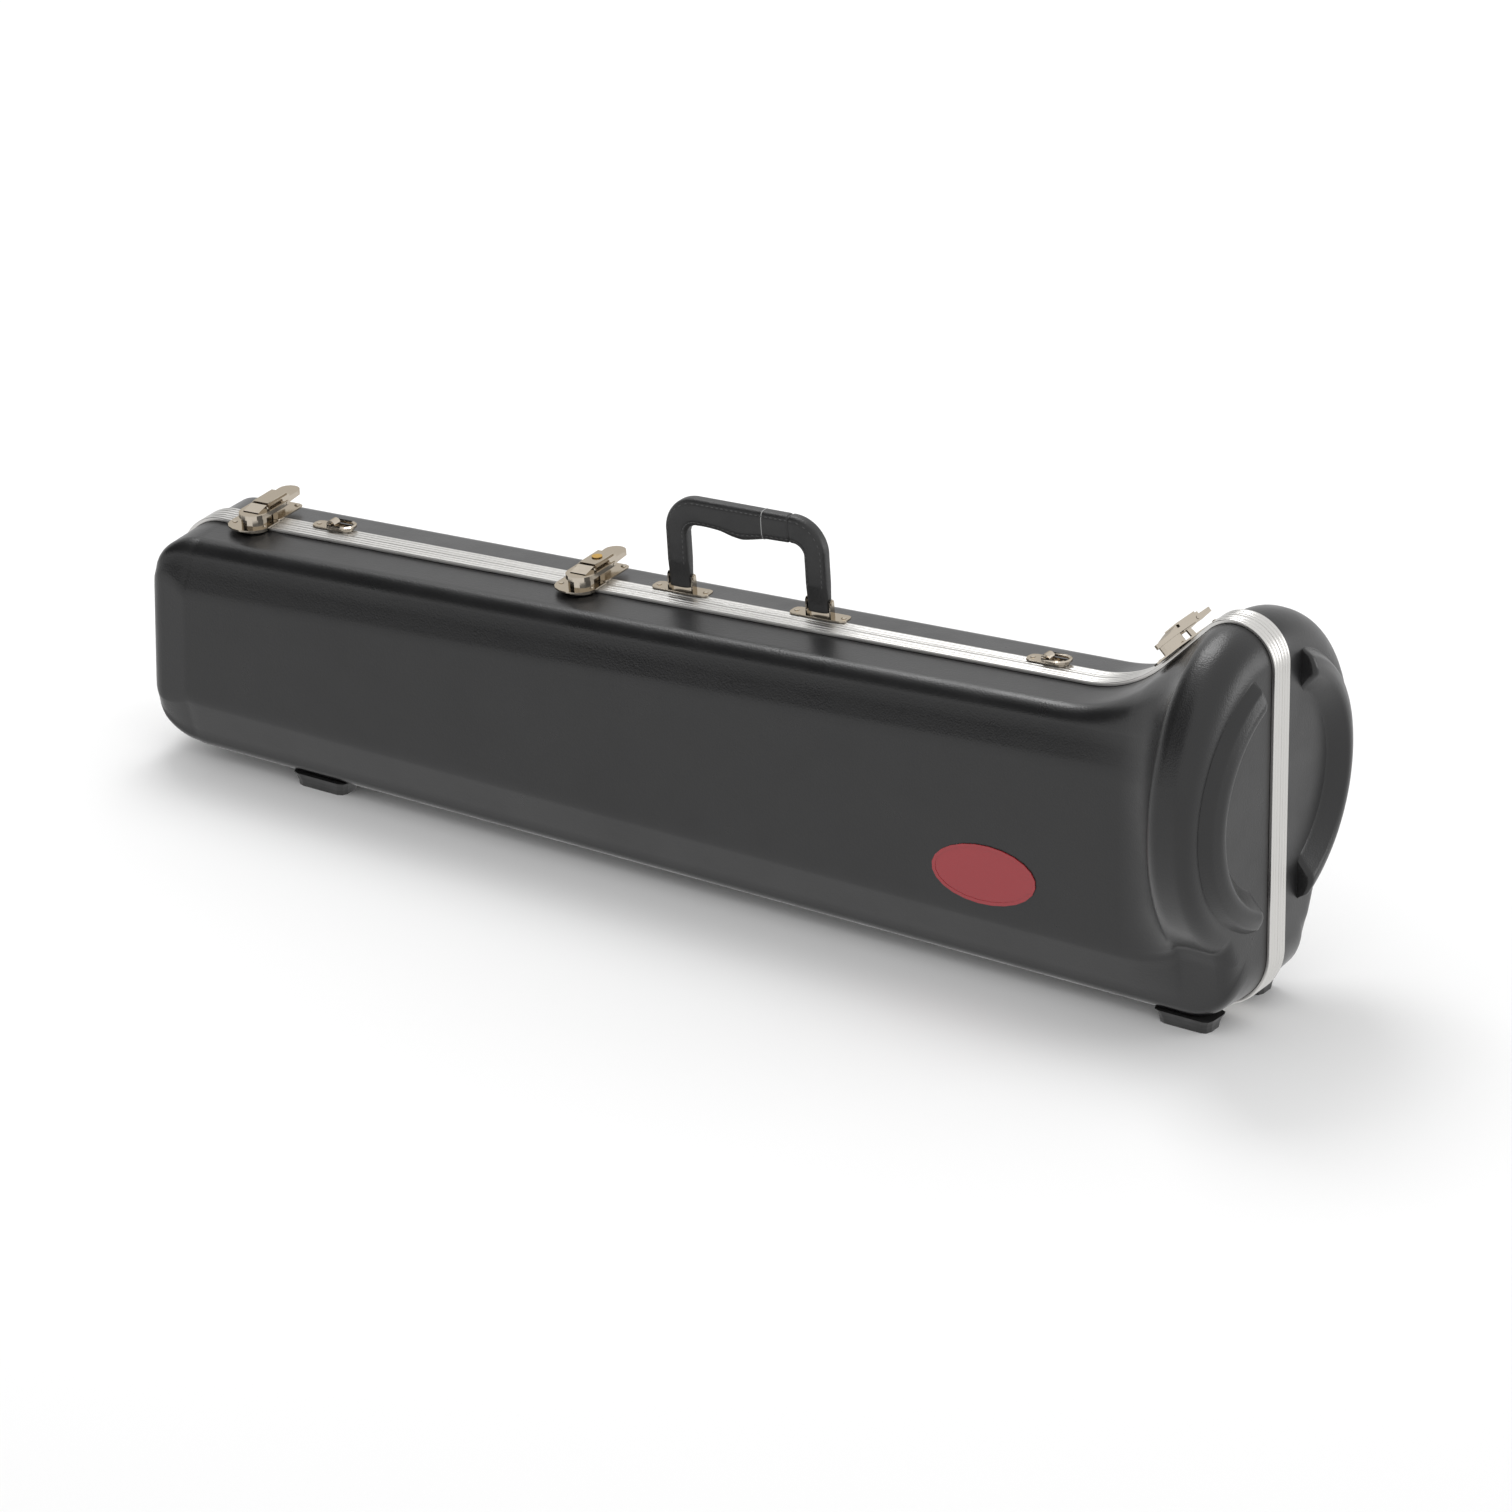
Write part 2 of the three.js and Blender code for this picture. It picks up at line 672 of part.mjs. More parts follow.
// An extruded valance that follows the parting edge: a ribbed face and a web over the shell's rim.
function valance() {
  const rim = shellRim - seamClearance;
  const profile = [[seamHalf, -webDepth], [rim, -webDepth], [rim, seatGap], [valanceWidth, seatGap]];
  const pitch = (valanceWidth - seamHalf) / ribCount;
  for (let i = ribCount; i > 0; i -= 1) {
    const edge = seamHalf + i * pitch;
    profile.push([edge, valanceHeight - ribDepth], [edge - pitch / 2, valanceHeight]);
  }
  profile.push([seamHalf, valanceHeight - ribDepth]);
  const outline = seamOutline();
  const rows = profile.map(([depth, height]) => offsetOutline(outline, height).map(([x, z]) =>
    vector(x, depth, z)));
  const count = outline.length;
  const faces = [];
  for (let k = 0; k < rows.length; k += 1) {
    const next = (k + 1) % rows.length;
    for (let i = 0; i < count; i += 1) {
      const j = (i + 1) % count;
      faces.push(k * count + i, k * count + j, next * count + j);
      faces.push(k * count + i, next * count + j, next * count + i);
    }
  }
  return outward(buffer(rows.flat().flatMap((p) => [p.x, p.y, p.z]), faces));
}

// Liners: the inside of a shell filled with foam, less the hollows for the instrument

function linerBlock(face) {
  const grid = insetGrid(shellWall + linerClearance, face);
  const pulled = grid.map((row) => row.map((p) => vector(p.x, Math.max(p.y, face), p.z)));
  const faces = gridFaces(pulled, 0, false);
  const last = sectionCount - 1;
  for (let i = 0; i + 1 < pulled.length; i += 1) {
    const a = i * sectionCount;
    const b = a + sectionCount;
    faces.push(a, b, b + last, a, b + last, a + last);
  }
  return outward(buffer(coordinates(pulled), faces));
}

// The hollow for the bell: a round well for its rim and three straight steps that narrow down to its tube.
const rimRight = shellLength - shellWall - linerClearance - instrumentRimGap;
const rimLeft = rimRight - rimWellLength;
const flareStart = rimLeft - wellLengths[0];
const bellWellStart = flareStart - wellLengths[1];

function bellHollow() {
  const reach = shellLength;
  const hollows = [box(rimLeft, rimRight, -reach, reach, -reach, reach)];
  let right = rimLeft;
  wellLengths.forEach((length, i) => {
    const half = wellHalves[i];
    hollows.push(box(right - length, right + seatGap, -half, half, bellCentre - half, bellCentre + half));
    right -= length;
  });
  return hollows;
}

// A liner is cut into blocks, which are glued in one by one with a fine seam between them.
function blocksOf(liner, cuts, lengthwise = true) {
  const reach = shellLength * 2;
  const edges = [-reach, ...cuts, reach];
  return cuts.concat(0).map((_, i) => {
    const low = edges[i] + seatGap / 2;
    const high = edges[i + 1] - seatGap / 2;
    const room = lengthwise ? box(low, high, -reach, reach, -reach, reach)
      : box(-reach, reach, -reach, reach, low, high);
    return geometryOf(solid(liner).intersect(solid(room)));
  });
}

// The body's liner: a well for the bow, a channel to each side of it, and a pocket for small things.
function bodyLiner() {
  const low = linerFace - shellRim;
  const bowTop = bellCentre + bowRise;
  const bowBottom = bowTop - bowHeight;
  const channelStart = bowRight - instrumentTube;
  const neck = box(channelStart, bellWellStart + seatGap, low, linerFace + instrumentTube,
    bellCentre - instrumentTube, bellCentre + instrumentTube);
  const tube = box(channelStart, returnRight, low, linerFace + returnDepth, bowBottom,
    bowBottom + instrumentTube * 2);
  const bow = box(bowLeft, bowRight, low, linerFace + bowDepth, bowBottom, bowTop);
  const pocket = box(pocketLeft, pocketRight, low, linerFace + pocketDepth, pocketBottom, pocketTop);
  const liner = cut(linerBlock(linerFace), ...bellHollow(), neck, tube, bow, pocket);
  return blocksOf(liner, [(pocketRight + bowLeft) / 2, bowRight, bellWellStart, flareStart,
    (rimLeft + rimRight) / 2]);
}

function lidLiner() {
  const low = lidLinerFace - shellRim;
  const slide = box(slideLeft, slideRight, low, lidLinerFace + slideDepth, slideBottom, slideTop);
  const liner = cut(linerBlock(lidLinerFace), ...bellHollow(), slide);
  const blocks = blocksOf(liner, [bowRight, bellWellStart, flareStart, (rimLeft + rimRight) / 2]);
  const levels = [(slideTop + bellCentre - wellHalves[0]) / 2];
  const shared = wellHalves.map((_, i) => i + blocks.length - wellHalves.length - 1);
  return blocks.flatMap((block, i) => (shared.includes(i) ? blocksOf(block, levels, false) : [block]))
    .map(mirrored);
}

// Hinges: leaves under the valances, with three knuckles round a pin along x

function hingeHalf(place, side) {
  const knuckleLength = hingeLength / hingeKnuckles;
  const start = place - hingeLength / 2;
  const leafTop = shellBottom - valanceHeight - seatGap;
  const leafStart = hingeKnuckle + runningGap;
  const leaf = box(start, start + hingeLength, leafStart, leafStart + hingeLeafWidth, leafTop - hingeLeaf,
    leafTop);
  const knuckle = (index, radius, gap) => slab(circle(radius, pinSides, 0, hingeAxisHeight),
    start + index * knuckleLength + gap, start + (index + 1) * knuckleLength - gap, alongX);
  const bridge = (index) => box(start + index * knuckleLength + runningGap,
    start + (index + 1) * knuckleLength - runningGap, 0, leafStart + hingeLeaf,
    hingeAxisHeight + hingePin + runningGap * 2, leafTop);
  if (side === 'back') {
    const pin = slab(circle(hingePin, pinSides, 0, hingeAxisHeight), start + runningGap,
      start + hingeLength - runningGap, alongX);
    return fuse(leaf, bridge(0), bridge(2), knuckle(0, hingeKnuckle, runningGap),
      knuckle(2, hingeKnuckle, runningGap), pin);
  }
  const hole = knuckle(1, hingePin + runningGap, -runningGap);
  return mirrored(cut(fuse(leaf, bridge(1), knuckle(1, hingeKnuckle, runningGap)), hole));
}

// A foot: a rounded block whose sides flare in a hollow curve to the shell's underside.
function foot(place, side) {
  const levelShares = [0, 0.35, 0.7, 1];
  const underside = shellBottom + bottomDraft - seatGap;
  const slope = bottomDraft / (panelDepth - lowerBevelRun - bottomRadius - rimLand);
  const rings = levelShares.map((s) => {
    const grow = footFlare * s * s / 2;
    const outline = roundedOutline(place - footLength / 2 - grow, place + footLength / 2 + grow,
      footCentre - footWidth / 2 - grow, footCentre + footWidth / 2 + grow, footCornerRadius, cornerSteps);
    return outline.map(([a, b]) => {
      const under = Math.min(shellBottom - seatGap + slope * (b - rimLand), underside);
      return vector(a, b, s * under);
    });
  });
  const block = loft(rings);
  return side === 'back' ? block : mirrored(block);
}

// Things that sit on the seam's top are made in its own frame and turned with it.
function onSeam(geometry, x) {
  const step = 1;
  const slope = Math.atan2(topAt(x + step) - topAt(x - step), step * 2);
  const copy = geometry.clone();
  copy.rotateY(-slope);
  copy.translate(x - Math.sin(slope) * valanceHeight, 0, topAt(x) + Math.cos(slope) * valanceHeight);
  return copy;
}

function rivet(u, v, w) {
  const ring = (radius, height) => circle(radius, rivetSides, u, v).map(([a, b]) => vector(a, b, height));
  const top = ring(rivetRadius / 2, w + rivetHeight);
  const base = ring(rivetRadius, w + rivetHeight * rivetEdgeShare);
  const root = ring(rivetRadius, w - plateThick / 2);
  return loft([root, base, top]);
}

// The points of half a circle that bulges towards -v, from its left end to its right one.
function halfRound(radiusU, radiusV, centreU, centreV) {
  return Array.from({ length: arcSteps + 1 }, (_, i) => {
    const angle = Math.PI + i / arcSteps * Math.PI;
    return [centreU + radiusU * Math.cos(angle), centreV + radiusV * Math.sin(angle)];
  });
}

// The lid's catch: an apron with a round front that carries an upright half drum.
function latchCatch(hasSkirt) {
  const plateTop = seatGap + plateThick;
  const half = catchWidth / 2;
  const straight = valanceWidth + rivetRadius * 2;
  const front = halfRound(half, catchFront - straight, -catchShift, -straight);
  const apron = slab([[half - catchShift, -seamHalf], [-half - catchShift, -seamHalf], ...front], seatGap,
    plateTop, alongZ);
  const drumTop = plateTop + drumHeight;
  const drum = slab(circle(drumRadius, drumSides, 0, -drumCentre), seatGap, drumTop, alongZ);
  const bore = slab(circle(drumRadius - drumWall, drumSides, 0, -drumCentre), plateTop, drumTop + drumWall,
    alongZ);
  const open = box(-catchWidth, catchWidth, -drumCentre + drumRadius * drumOpenShare, drumRadius, plateTop,
    drumTop + drumWall);
  const edge = half - rivetInset;
  const rivets = [rivet(-edge - catchShift, -straight, plateTop), rivet(edge - catchShift, -straight, plateTop)];
  const parts = [apron, cut(drum, bore, open), ...rivets];
  if (hasSkirt) {
    const skirt = front.map(([u, v]) => [u * skirtShare, Math.min(v * skirtShare, -valanceWidth - seatGap)]);
    parts.push(slab(skirt, seatGap * 2 - valanceHeight, seatGap + plateThick / 2, alongZ));
  }
  return fuse(...parts);
}

// The body's bracket: a riveted plate with two ears that carry the lever's pin.
function latchBase() {
  const plateTop = seatGap + plateThick;
  const half = basePlateWidth / 2;
  const plate = slab(roundedOutline(-half, half, seamHalf + runningGap, basePlateLength, plateCorner,
    cornerSteps), seatGap, plateTop, alongZ);
  const earCentre = leverWidth / 2 - leverWall - runningGap - earThick / 2;
  const earOutline = [[leverAxisAcross - earRadius / 2, seatGap], [leverAxisAcross + earRadius * 2, seatGap],
    ...circle(earRadius, pinSides, leverAxisAcross, leverAxisHeight).filter(([, w]) => w > leverAxisHeight)];
  const ears = [-1, 1].map((side) => slab(earOutline, side * earCentre - earThick / 2,
    side * earCentre + earThick / 2, alongX));
  const hole = slab(circle(pinRadius + runningGap, pinSides, leverAxisAcross, leverAxisHeight), -leverWidth,
    leverWidth, alongX);
  const rear = basePlateLength - rivetInset;
  const rivets = [-1, 1].map((side) => rivet(side * (half - rivetInset), rear, plateTop));
  return cut(fuse(plate, ...ears, ...rivets), hole);
}

const leverFront = leverAxisAcross - leverOverhang;
const bailInner = Math.max(drumRadius, leverWidth / 2) + runningGap;

// The lever: two cheeks and a top, a raised cover over it and a lower round thumb tab behind.
function latchLever() {
  const half = leverWidth / 2;
  const top = leverAxisHeight + leverTop;
  const thumbTop = top - thumbDrop;
  const front = leverFront;
  const rear = front + coverLength;
  const end = rear + thumbLength;
  const cheekEnd = rear + thumbLength * cheekShare;
  const cheekOutline = [[front, leverAxisHeight - earRadius], [front, top], [rear, top], [rear, thumbTop],
    [cheekEnd, thumbTop], [cheekEnd, thumbTop - leverWall - thumbRim], [rear, leverAxisHeight - earRadius]];
  const cheeks = [-1, 1].map((side) => slab(cheekOutline, side * (half - leverWall / 2) - leverWall / 2,
    side * (half - leverWall / 2) + leverWall / 2, alongX));
  const roof = box(-half, half, front, rear, top - leverWall, top);
  const step = box(-half, half, rear - leverWall, rear, thumbTop - leverWall, top);
  const cover = box(-half + leverWall, half - leverWall, front, rear - leverWall, top - leverWall / 2,
    top + coverThick);
  const round = halfRound(thumbWidth / 2, thumbWidth / 2, 0, thumbWidth / 2 - end).map(([u, v]) => [-u, -v]);
  const thumb = slab([[-half, rear - leverWall], [half, rear - leverWall], ...round], thumbTop - leverWall,
    thumbTop, alongZ);
  const pin = slab(circle(pinRadius, pinSides, leverAxisAcross, leverAxisHeight), -half + leverWall / 2,
    half - leverWall / 2, alongX);
  const reach = bailInner + bailThick + runningGap;
  const pivotPin = slab(circle(pinRadius, pinSides, leverAxisAcross + bailPivotReach, leverAxisHeight), -reach,
    reach, alongX);
  return fuse(...cheeks, roof, step, cover, thumb, pin, pivotPin);
}

// The bail: a band round the catch's drum, closed by a nose over it, that pivots on the lever.
function latchBail() {
  const outer = bailInner + bailThick;
  const pivot = leverAxisAcross + bailPivotReach;
  const low = leverAxisHeight - bailHeight / 2;
  const high = leverAxisHeight + bailHeight / 2;
  const bend = (radius) => halfRound(radius, radius, 0, -drumCentre);
  const rear = pivot + earRadius;
  const band = slab([[outer, rear], [bailInner, rear], ...bend(bailInner).reverse(), [-bailInner, rear],
    [-outer, rear], ...bend(outer)], low, high, alongZ);
  const drumTop = seatGap + plateThick + drumHeight + runningGap;
  const capRear = leverFront - noseClearance;
  const cap = slab([...bend(outer), [outer, capRear], [-outer, capRear]], drumTop, high, alongZ);
  const half = leverWidth / 2 - leverWall;
  const nose = slab([[capRear - noseLength - leverWall, high - leverWall / 2], [capRear, high - leverWall / 2],
    [capRear, high + noseRise], [capRear - noseLength, high + leverWall / 2]], -half, half, alongX);
  const hole = slab(circle(pinRadius + runningGap, pinSides, pivot, leverAxisHeight), -outer * 2, outer * 2,
    alongX);
  return cut(fuse(band, cap, nose), hole);
}

function latchLock() {
  const half = coverLength / 2;
  const top = leverAxisHeight + leverTop + coverThick + seatGap;
  return slab(circle(lockRadius, drumSides, 0, leverFront + half), top, top + lockHeight, alongZ);
}

// Handle: a rounded bar bent into an inverted U, deeper under the palm

function handleRings() {
  const half = handleSpacing / 2;
  const radius = handleCornerRadius;
  const top = handleAxisHeight + handleRise;
  const foot = handleAxisHeight - handleFootDrop;
  const post = postShares.map((s) => ({ u: -half, w: mix(foot, top - radius, s), turn: 0, under: 0 }));
  const bend = bendShares.map((s) => {
    const turn = s * Math.PI / 2;
    return { u: -half + radius * (1 - Math.cos(turn)), w: top - radius * (1 - Math.sin(turn)), turn, under: 0 };
  });
  const grip = gripShares.map((s, i) => ({ u: mix(-half + radius, half - radius, s), w: top,
    turn: Math.PI / 2, under: swell * swellShares[i] }));
  const mirror = [...bend].reverse().map((r) => ({ ...r, u: -r.u, turn: Math.PI - r.turn }));
  const mirrorPost = [...post].reverse().map((r) => ({ ...r, u: -r.u, turn: Math.PI }));
  return [...post, ...bend, ...grip, ...mirror, ...mirrorPost];
}

function handle() {
  const rings = handleRings().map(({ u, w, turn, under }) => circle(1, handleSides).map(([a, b]) => {
    const full = limit((w - handleAxisHeight) / handleTaper, 0, 1);
    const depth = mix(handleFootDepth, handleDepth, full);
    const across = Math.sign(b) * Math.pow(Math.abs(b), handleSquareness) * depth / 2;
    const outside = mix(postWidth, gripThick, Math.abs(Math.sin(turn))) / 2;
    const inside = a > 0 ? outside : outside + under;
    const out = Math.sign(a) * Math.pow(Math.abs(a), handleSquareness) * inside;
    return vector(u - out * Math.cos(turn), handleAcross + across, w + out * Math.sin(turn));
  }));
  const half = handleSpacing / 2 + postWidth;
  const hole = slab(circle(handlePinRadius + runningGap, pinSides, handleAcross, handleAxisHeight), -half,
    half, alongX);
  return cut(loft(rings), hole);
}

// A riveted bracket with two ears and the pin that one post of the handle turns on.
function handleBracket(side) {
  const plateTop = seatGap + plateThick;
  const middle = side * handleSpacing / 2;
  const half = bracketLength / 2;
  const plate = slab(roundedOutline(middle - half, middle + half, handleAcross - bracketWidth / 2,
    handleAcross + bracketWidth / 2, bracketCorner, cornerSteps), seatGap, plateTop, alongZ);
  const earPlace = postWidth / 2 + runningGap * 2 + plateThick / 2;
  const earOutline = [[handleAcross - bracketEarRadius, seatGap], [handleAcross + bracketEarRadius, seatGap],
    ...circle(bracketEarRadius, pinSides, handleAcross, handleAxisHeight).filter(([, w]) => w > handleAxisHeight)];
  const ears = [-1, 1].map((end) => slab(earOutline, middle + end * earPlace - plateThick / 2,
    middle + end * earPlace + plateThick / 2, alongX));
  const pin = slab(circle(handlePinRadius, pinSides, handleAcross, handleAxisHeight),
    middle - earPlace - plateThick, middle + earPlace + plateThick, alongX);
  const rivetPlace = half - rivetInset;
  const rivets = [-1, 1].map((end) => rivet(middle + end * rivetPlace, handleAcross, plateTop));
  return fuse(plate, ...ears, pin, ...rivets);
}

// Strap rings: a riveted plate with a folded clip, and a D-shaped ring that turns in it

const clipHeight = seatGap + plateThick + strapWire + runningGap;

function strapPlate() {
  const plateTop = seatGap + plateThick;
  const half = strapPlateLength / 2;
  const across = strapAcross;
  const plate = slab(roundedOutline(-half, half, across - strapPlateWidth / 2, across + strapPlateWidth / 2,
    plateCorner, cornerSteps), seatGap, plateTop, alongZ);
  const reach = strapRingWidth / 2 - strapWire * 2;
  const clipOutline = circle(clipRadius, drumSides, 0, clipHeight).filter(([, w]) => w > seatGap);
  const clip = slab(clipOutline, across - reach, across + reach, alongY);
  const bore = slab(circle(strapWire + runningGap, pinSides, 0, clipHeight), across - strapRingWidth,
    across + strapRingWidth, alongY);
  const rivets = [-1, 1].map((end) => rivet(end * (half - rivetInset), across, plateTop));
  return cut(fuse(plate, clip, ...rivets), bore);
}

function strapRing() {
  const half = strapRingWidth / 2;
  const bend = Array.from({ length: ringSteps + 1 }, (_, i) => {
    const angle = (i / ringSteps - 1 / 2) * Math.PI;
    return [strapRingReach - half + half * Math.cos(angle), half * Math.sin(angle)];
  });
  const route = [[0, -half], ...bend, [0, half]];
  const rows = route.map(([u, v], i) => {
    const before = route.at(i - 1);
    const after = route[(i + 1) % route.length];
    const tangent = new THREE.Vector2(after[0] - before[0], after[1] - before[1]).normalize();
    return circle(strapWire, rivetSides).map(([a, b]) => vector(u + tangent.y * a,
      strapAcross + v - tangent.x * a, clipHeight + b));
  });
  const faces = [];
  for (let i = 0; i < rows.length; i += 1) {
    const first = i * rivetSides;
    const second = (i + 1) % rows.length * rivetSides;
    for (let j = 0; j < rivetSides; j += 1) {
      const k = (j + 1) % rivetSides;
      faces.push(first + j, first + k, second + k, first + j, second + k, second + j);
    }
  }
  return outward(buffer(rows.flat().flatMap((p) => [p.x, p.y, p.z]), faces));
}

// Assembly

const frontEnd = valanceHeight;
const rearEnd = shellLength + ringHeight - endDraftShare * (ringEnd - rimLand);
const caseMiddle = (rearEnd - frontEnd) / 2;

function named(name, geometry, material) {
  const centred = geometry.clone();
  centred.translate(-caseMiddle, 0, 0);
  const flat = centred.toNonIndexed();
  flat.computeVertexNormals();
  const mesh = new THREE.Mesh(flat, material);
  mesh.name = name;
  return mesh;
}

function build() {
  const group = new THREE.Group();
  const add = (name, geometry, material) => group.add(named(name, geometry, material));
  add('back_shell', backShell(), materials.shell);
  add('front_shell', frontShell(), materials.shell);
  add('back_valance', valance(), materials.aluminium);
  add('front_valance', mirrored(valance()), materials.aluminium);
  bodyLiner().forEach((block, i) => add(`back_liner_${i + 1}`, block, materials.plush));
  lidLiner().forEach((block, i) => add(`front_liner_${i + 1}`, block, materials.plush));
  add('badge', badge(), materials.badge);
  hingePlaces.forEach((place, i) => {
    add(`hinge_back_${i + 1}`, hingeHalf(place, 'back'), materials.nickel);
    add(`hinge_front_${i + 1}`, hingeHalf(place, 'front'), materials.nickel);
  });
  footPlaces.forEach((place, i) => {
    add(`foot_back_${i + 1}`, foot(place, 'back'), materials.rubber);
    add(`foot_front_${i + 1}`, foot(place, 'front'), materials.rubber);
  });
  latchPlaces.forEach((place, i) => {
    const onBody = place < sweepStartX;
    add(`latch_catch_${i + 1}`, onSeam(latchCatch(onBody), place), materials.nickel);
    add(`latch_base_${i + 1}`, onSeam(latchBase(), place), materials.nickel);
    add(`latch_lever_${i + 1}`, onSeam(latchLever(), place), materials.nickel);
    add(`latch_bail_${i + 1}`, onSeam(latchBail(), place), materials.nickel);
  });
  add('latch_lock', onSeam(latchLock(), latchPlaces[1]), materials.brass);
  add('handle', onSeam(handle(), handlePlace), materials.grip);
  add('handle_bracket_1', onSeam(handleBracket(-1), handlePlace), materials.nickel);
  add('handle_bracket_2', onSeam(handleBracket(1), handlePlace), materials.nickel);
  strapPlaces.forEach((place, i) => {
    add(`strap_plate_${i + 1}`, onSeam(strapPlate(), place), materials.nickel);
    add(`strap_ring_${i + 1}`, onSeam(strapRing(), place), materials.nickel);
  });
  return group;
}

export default build();
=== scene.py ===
# %% [markdown]
# # A moulded trombone case
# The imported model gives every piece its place, in metres: +X runs to the bell end, +Y to the half that
# carries the handle, +Z up. The hardware that is already right keeps its solids and gets a finish. The
# moulded shells, the ribbed valances, the covered handle and the plush liners have soft curves or fine
# relief that flat facets can't show, so they are worked out again here as smooth surfaces.

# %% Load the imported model
import json
import math

import bmesh
import bpy
import numpy as np
from mathutils import Matrix, Vector

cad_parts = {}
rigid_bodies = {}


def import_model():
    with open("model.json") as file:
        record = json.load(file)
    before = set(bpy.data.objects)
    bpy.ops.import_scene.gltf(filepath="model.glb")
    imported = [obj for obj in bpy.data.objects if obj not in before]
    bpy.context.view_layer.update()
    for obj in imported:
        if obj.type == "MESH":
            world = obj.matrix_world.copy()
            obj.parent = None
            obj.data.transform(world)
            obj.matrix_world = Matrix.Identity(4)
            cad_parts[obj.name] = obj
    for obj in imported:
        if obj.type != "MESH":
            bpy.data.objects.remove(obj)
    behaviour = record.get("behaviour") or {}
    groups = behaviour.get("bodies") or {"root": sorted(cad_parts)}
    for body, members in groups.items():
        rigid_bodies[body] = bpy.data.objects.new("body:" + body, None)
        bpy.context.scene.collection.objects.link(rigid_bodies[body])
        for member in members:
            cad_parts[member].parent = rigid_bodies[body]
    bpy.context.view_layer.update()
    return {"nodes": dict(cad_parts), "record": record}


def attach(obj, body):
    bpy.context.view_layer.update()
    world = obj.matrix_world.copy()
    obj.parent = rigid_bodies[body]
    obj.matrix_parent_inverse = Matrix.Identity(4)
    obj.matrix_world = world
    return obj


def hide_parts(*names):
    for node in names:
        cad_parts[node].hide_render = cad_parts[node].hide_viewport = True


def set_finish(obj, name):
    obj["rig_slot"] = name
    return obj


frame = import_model()
nodes = frame["nodes"]
print("nodes:", len(nodes))

# %% [markdown]
# ## The camera
# The photograph was taken from the lid side, about 32 degrees round to the bell end and 25 degrees up,
# with a long lens. The camera's three directions are worked out from those two angles, and its place is
# nine metres back along the view, shifted so that the case falls where it does in the picture.

# %% Camera at the photograph's angle
VIEW_AROUND, VIEW_UP = math.radians(32.4), math.radians(25.06)
VIEW_DISTANCE, VIEW_SIDE, VIEW_RISE = 9.0395, -0.0356, 0.0983
VIEW_START = Vector((0.0679, 0.0, 0.0))
LENS, SENSOR, FARTHEST = 294.2, 36.0, 100.0

back = Vector((math.sin(VIEW_AROUND) * math.cos(VIEW_UP), -math.cos(VIEW_AROUND) * math.cos(VIEW_UP),
               math.sin(VIEW_UP)))
right = Vector((math.cos(VIEW_AROUND), math.sin(VIEW_AROUND), 0.0))
up = back.cross(right)
camera_data = bpy.data.cameras.new("camera")
camera_data.lens = LENS
camera_data.sensor_width = SENSOR
camera_data.clip_end = FARTHEST
camera = bpy.data.objects.new("camera", camera_data)
bpy.context.collection.objects.link(camera)
camera.matrix_world = Matrix((
    (right.x, up.x, back.x, 0), (right.y, up.y, back.y, 0), (right.z, up.z, back.z, 0), (0, 0, 0, 1)))
camera.location = VIEW_START + back * VIEW_DISTANCE + right * VIEW_SIDE + up * VIEW_RISE
bpy.context.scene.camera = camera
print("camera at", [round(v, 3) for v in camera.location])

# %% [markdown]
# ## Meshes from arrays
# Every new piece is a grid of points, worked out for all its rows at once. One helper turns such a grid
# into a mesh, and closes it where the rows or the columns run round. Points that fall together are merged.
# Shapes are thought out in millimetres from the narrow end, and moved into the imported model's frame last.

# %% Helpers for grids and pieces
MM = 0.001
CASE_MIDDLE = 472.101
MERGE, FINE_MERGE = 0.00002, 0.000001


def grid_faces(rows, columns, round_rows=False, round_columns=False):
    """Corner numbers of the quads between neighbouring rows and columns; a round grid joins last to first."""
    i = np.arange(rows if round_rows else rows - 1)[:, None]
    j = np.arange(columns if round_columns else columns - 1)[None, :]
    k, m = (i + 1) % rows, (j + 1) % columns
    quads = np.stack([i * columns + j, i * columns + m, k * columns + m, k * columns + j], -1)
    return quads.reshape(-1, 4)


def piece(name, points, faces, merge=MERGE):
    """A smooth mesh object from an array of points in metres and an array of corner numbers."""
    mesh = bpy.data.meshes.new(name)
    mesh.from_pydata(np.asarray(points, float).reshape(-1, 3).tolist(), [], np.asarray(faces).tolist())
    work = bmesh.new()
    work.from_mesh(mesh)
    bmesh.ops.remove_doubles(work, verts=work.verts, dist=merge)
    bmesh.ops.dissolve_degenerate(work, edges=work.edges, dist=merge / 4)
    bmesh.ops.recalc_face_normals(work, faces=work.faces)
    work.to_mesh(mesh)
    work.free()
    mesh.shade_smooth()
    obj = bpy.data.objects.new(name, mesh)
    bpy.context.collection.objects.link(obj)
    return obj


def sharpen(obj, angle):
    """Lets the smooth shading break at edges sharper than the angle in degrees."""
    obj.data.set_sharp_from_angle(angle=math.radians(angle))


def look_along(obj, direction):
    """Turns an open skin over if, summed over its area, it looks against the direction."""
    direction = Vector(direction)
    if sum(face.normal.dot(direction) * face.area for face in obj.data.polygons) < 0:
        obj.data.flip_normals()


def thicken(obj, name, thickness):
    """Gives a skin a wall of that many millimetres behind it."""
    wall = obj.modifiers.new(name, "SOLIDIFY")
    wall.thickness = thickness * MM
    wall.offset = -1


def row_frame(points):
    """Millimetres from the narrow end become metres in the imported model's frame."""
    moved = np.array(points, float)
    moved[..., 0] -= CASE_MIDDLE
    return moved * MM


def mirrored(points):
    """The lid side is the body side with its depth turned over."""
    return points * np.array([1, -1, 1])


def fine(*stops):
    """Numbers from stop to stop, each given as (value, steps to the next)."""
    parts = [np.linspace(a, b, n, endpoint=False) for (a, n), (b, _) in zip(stops, stops[1:])]
    return np.concatenate(parts + [[stops[-1][0]]])


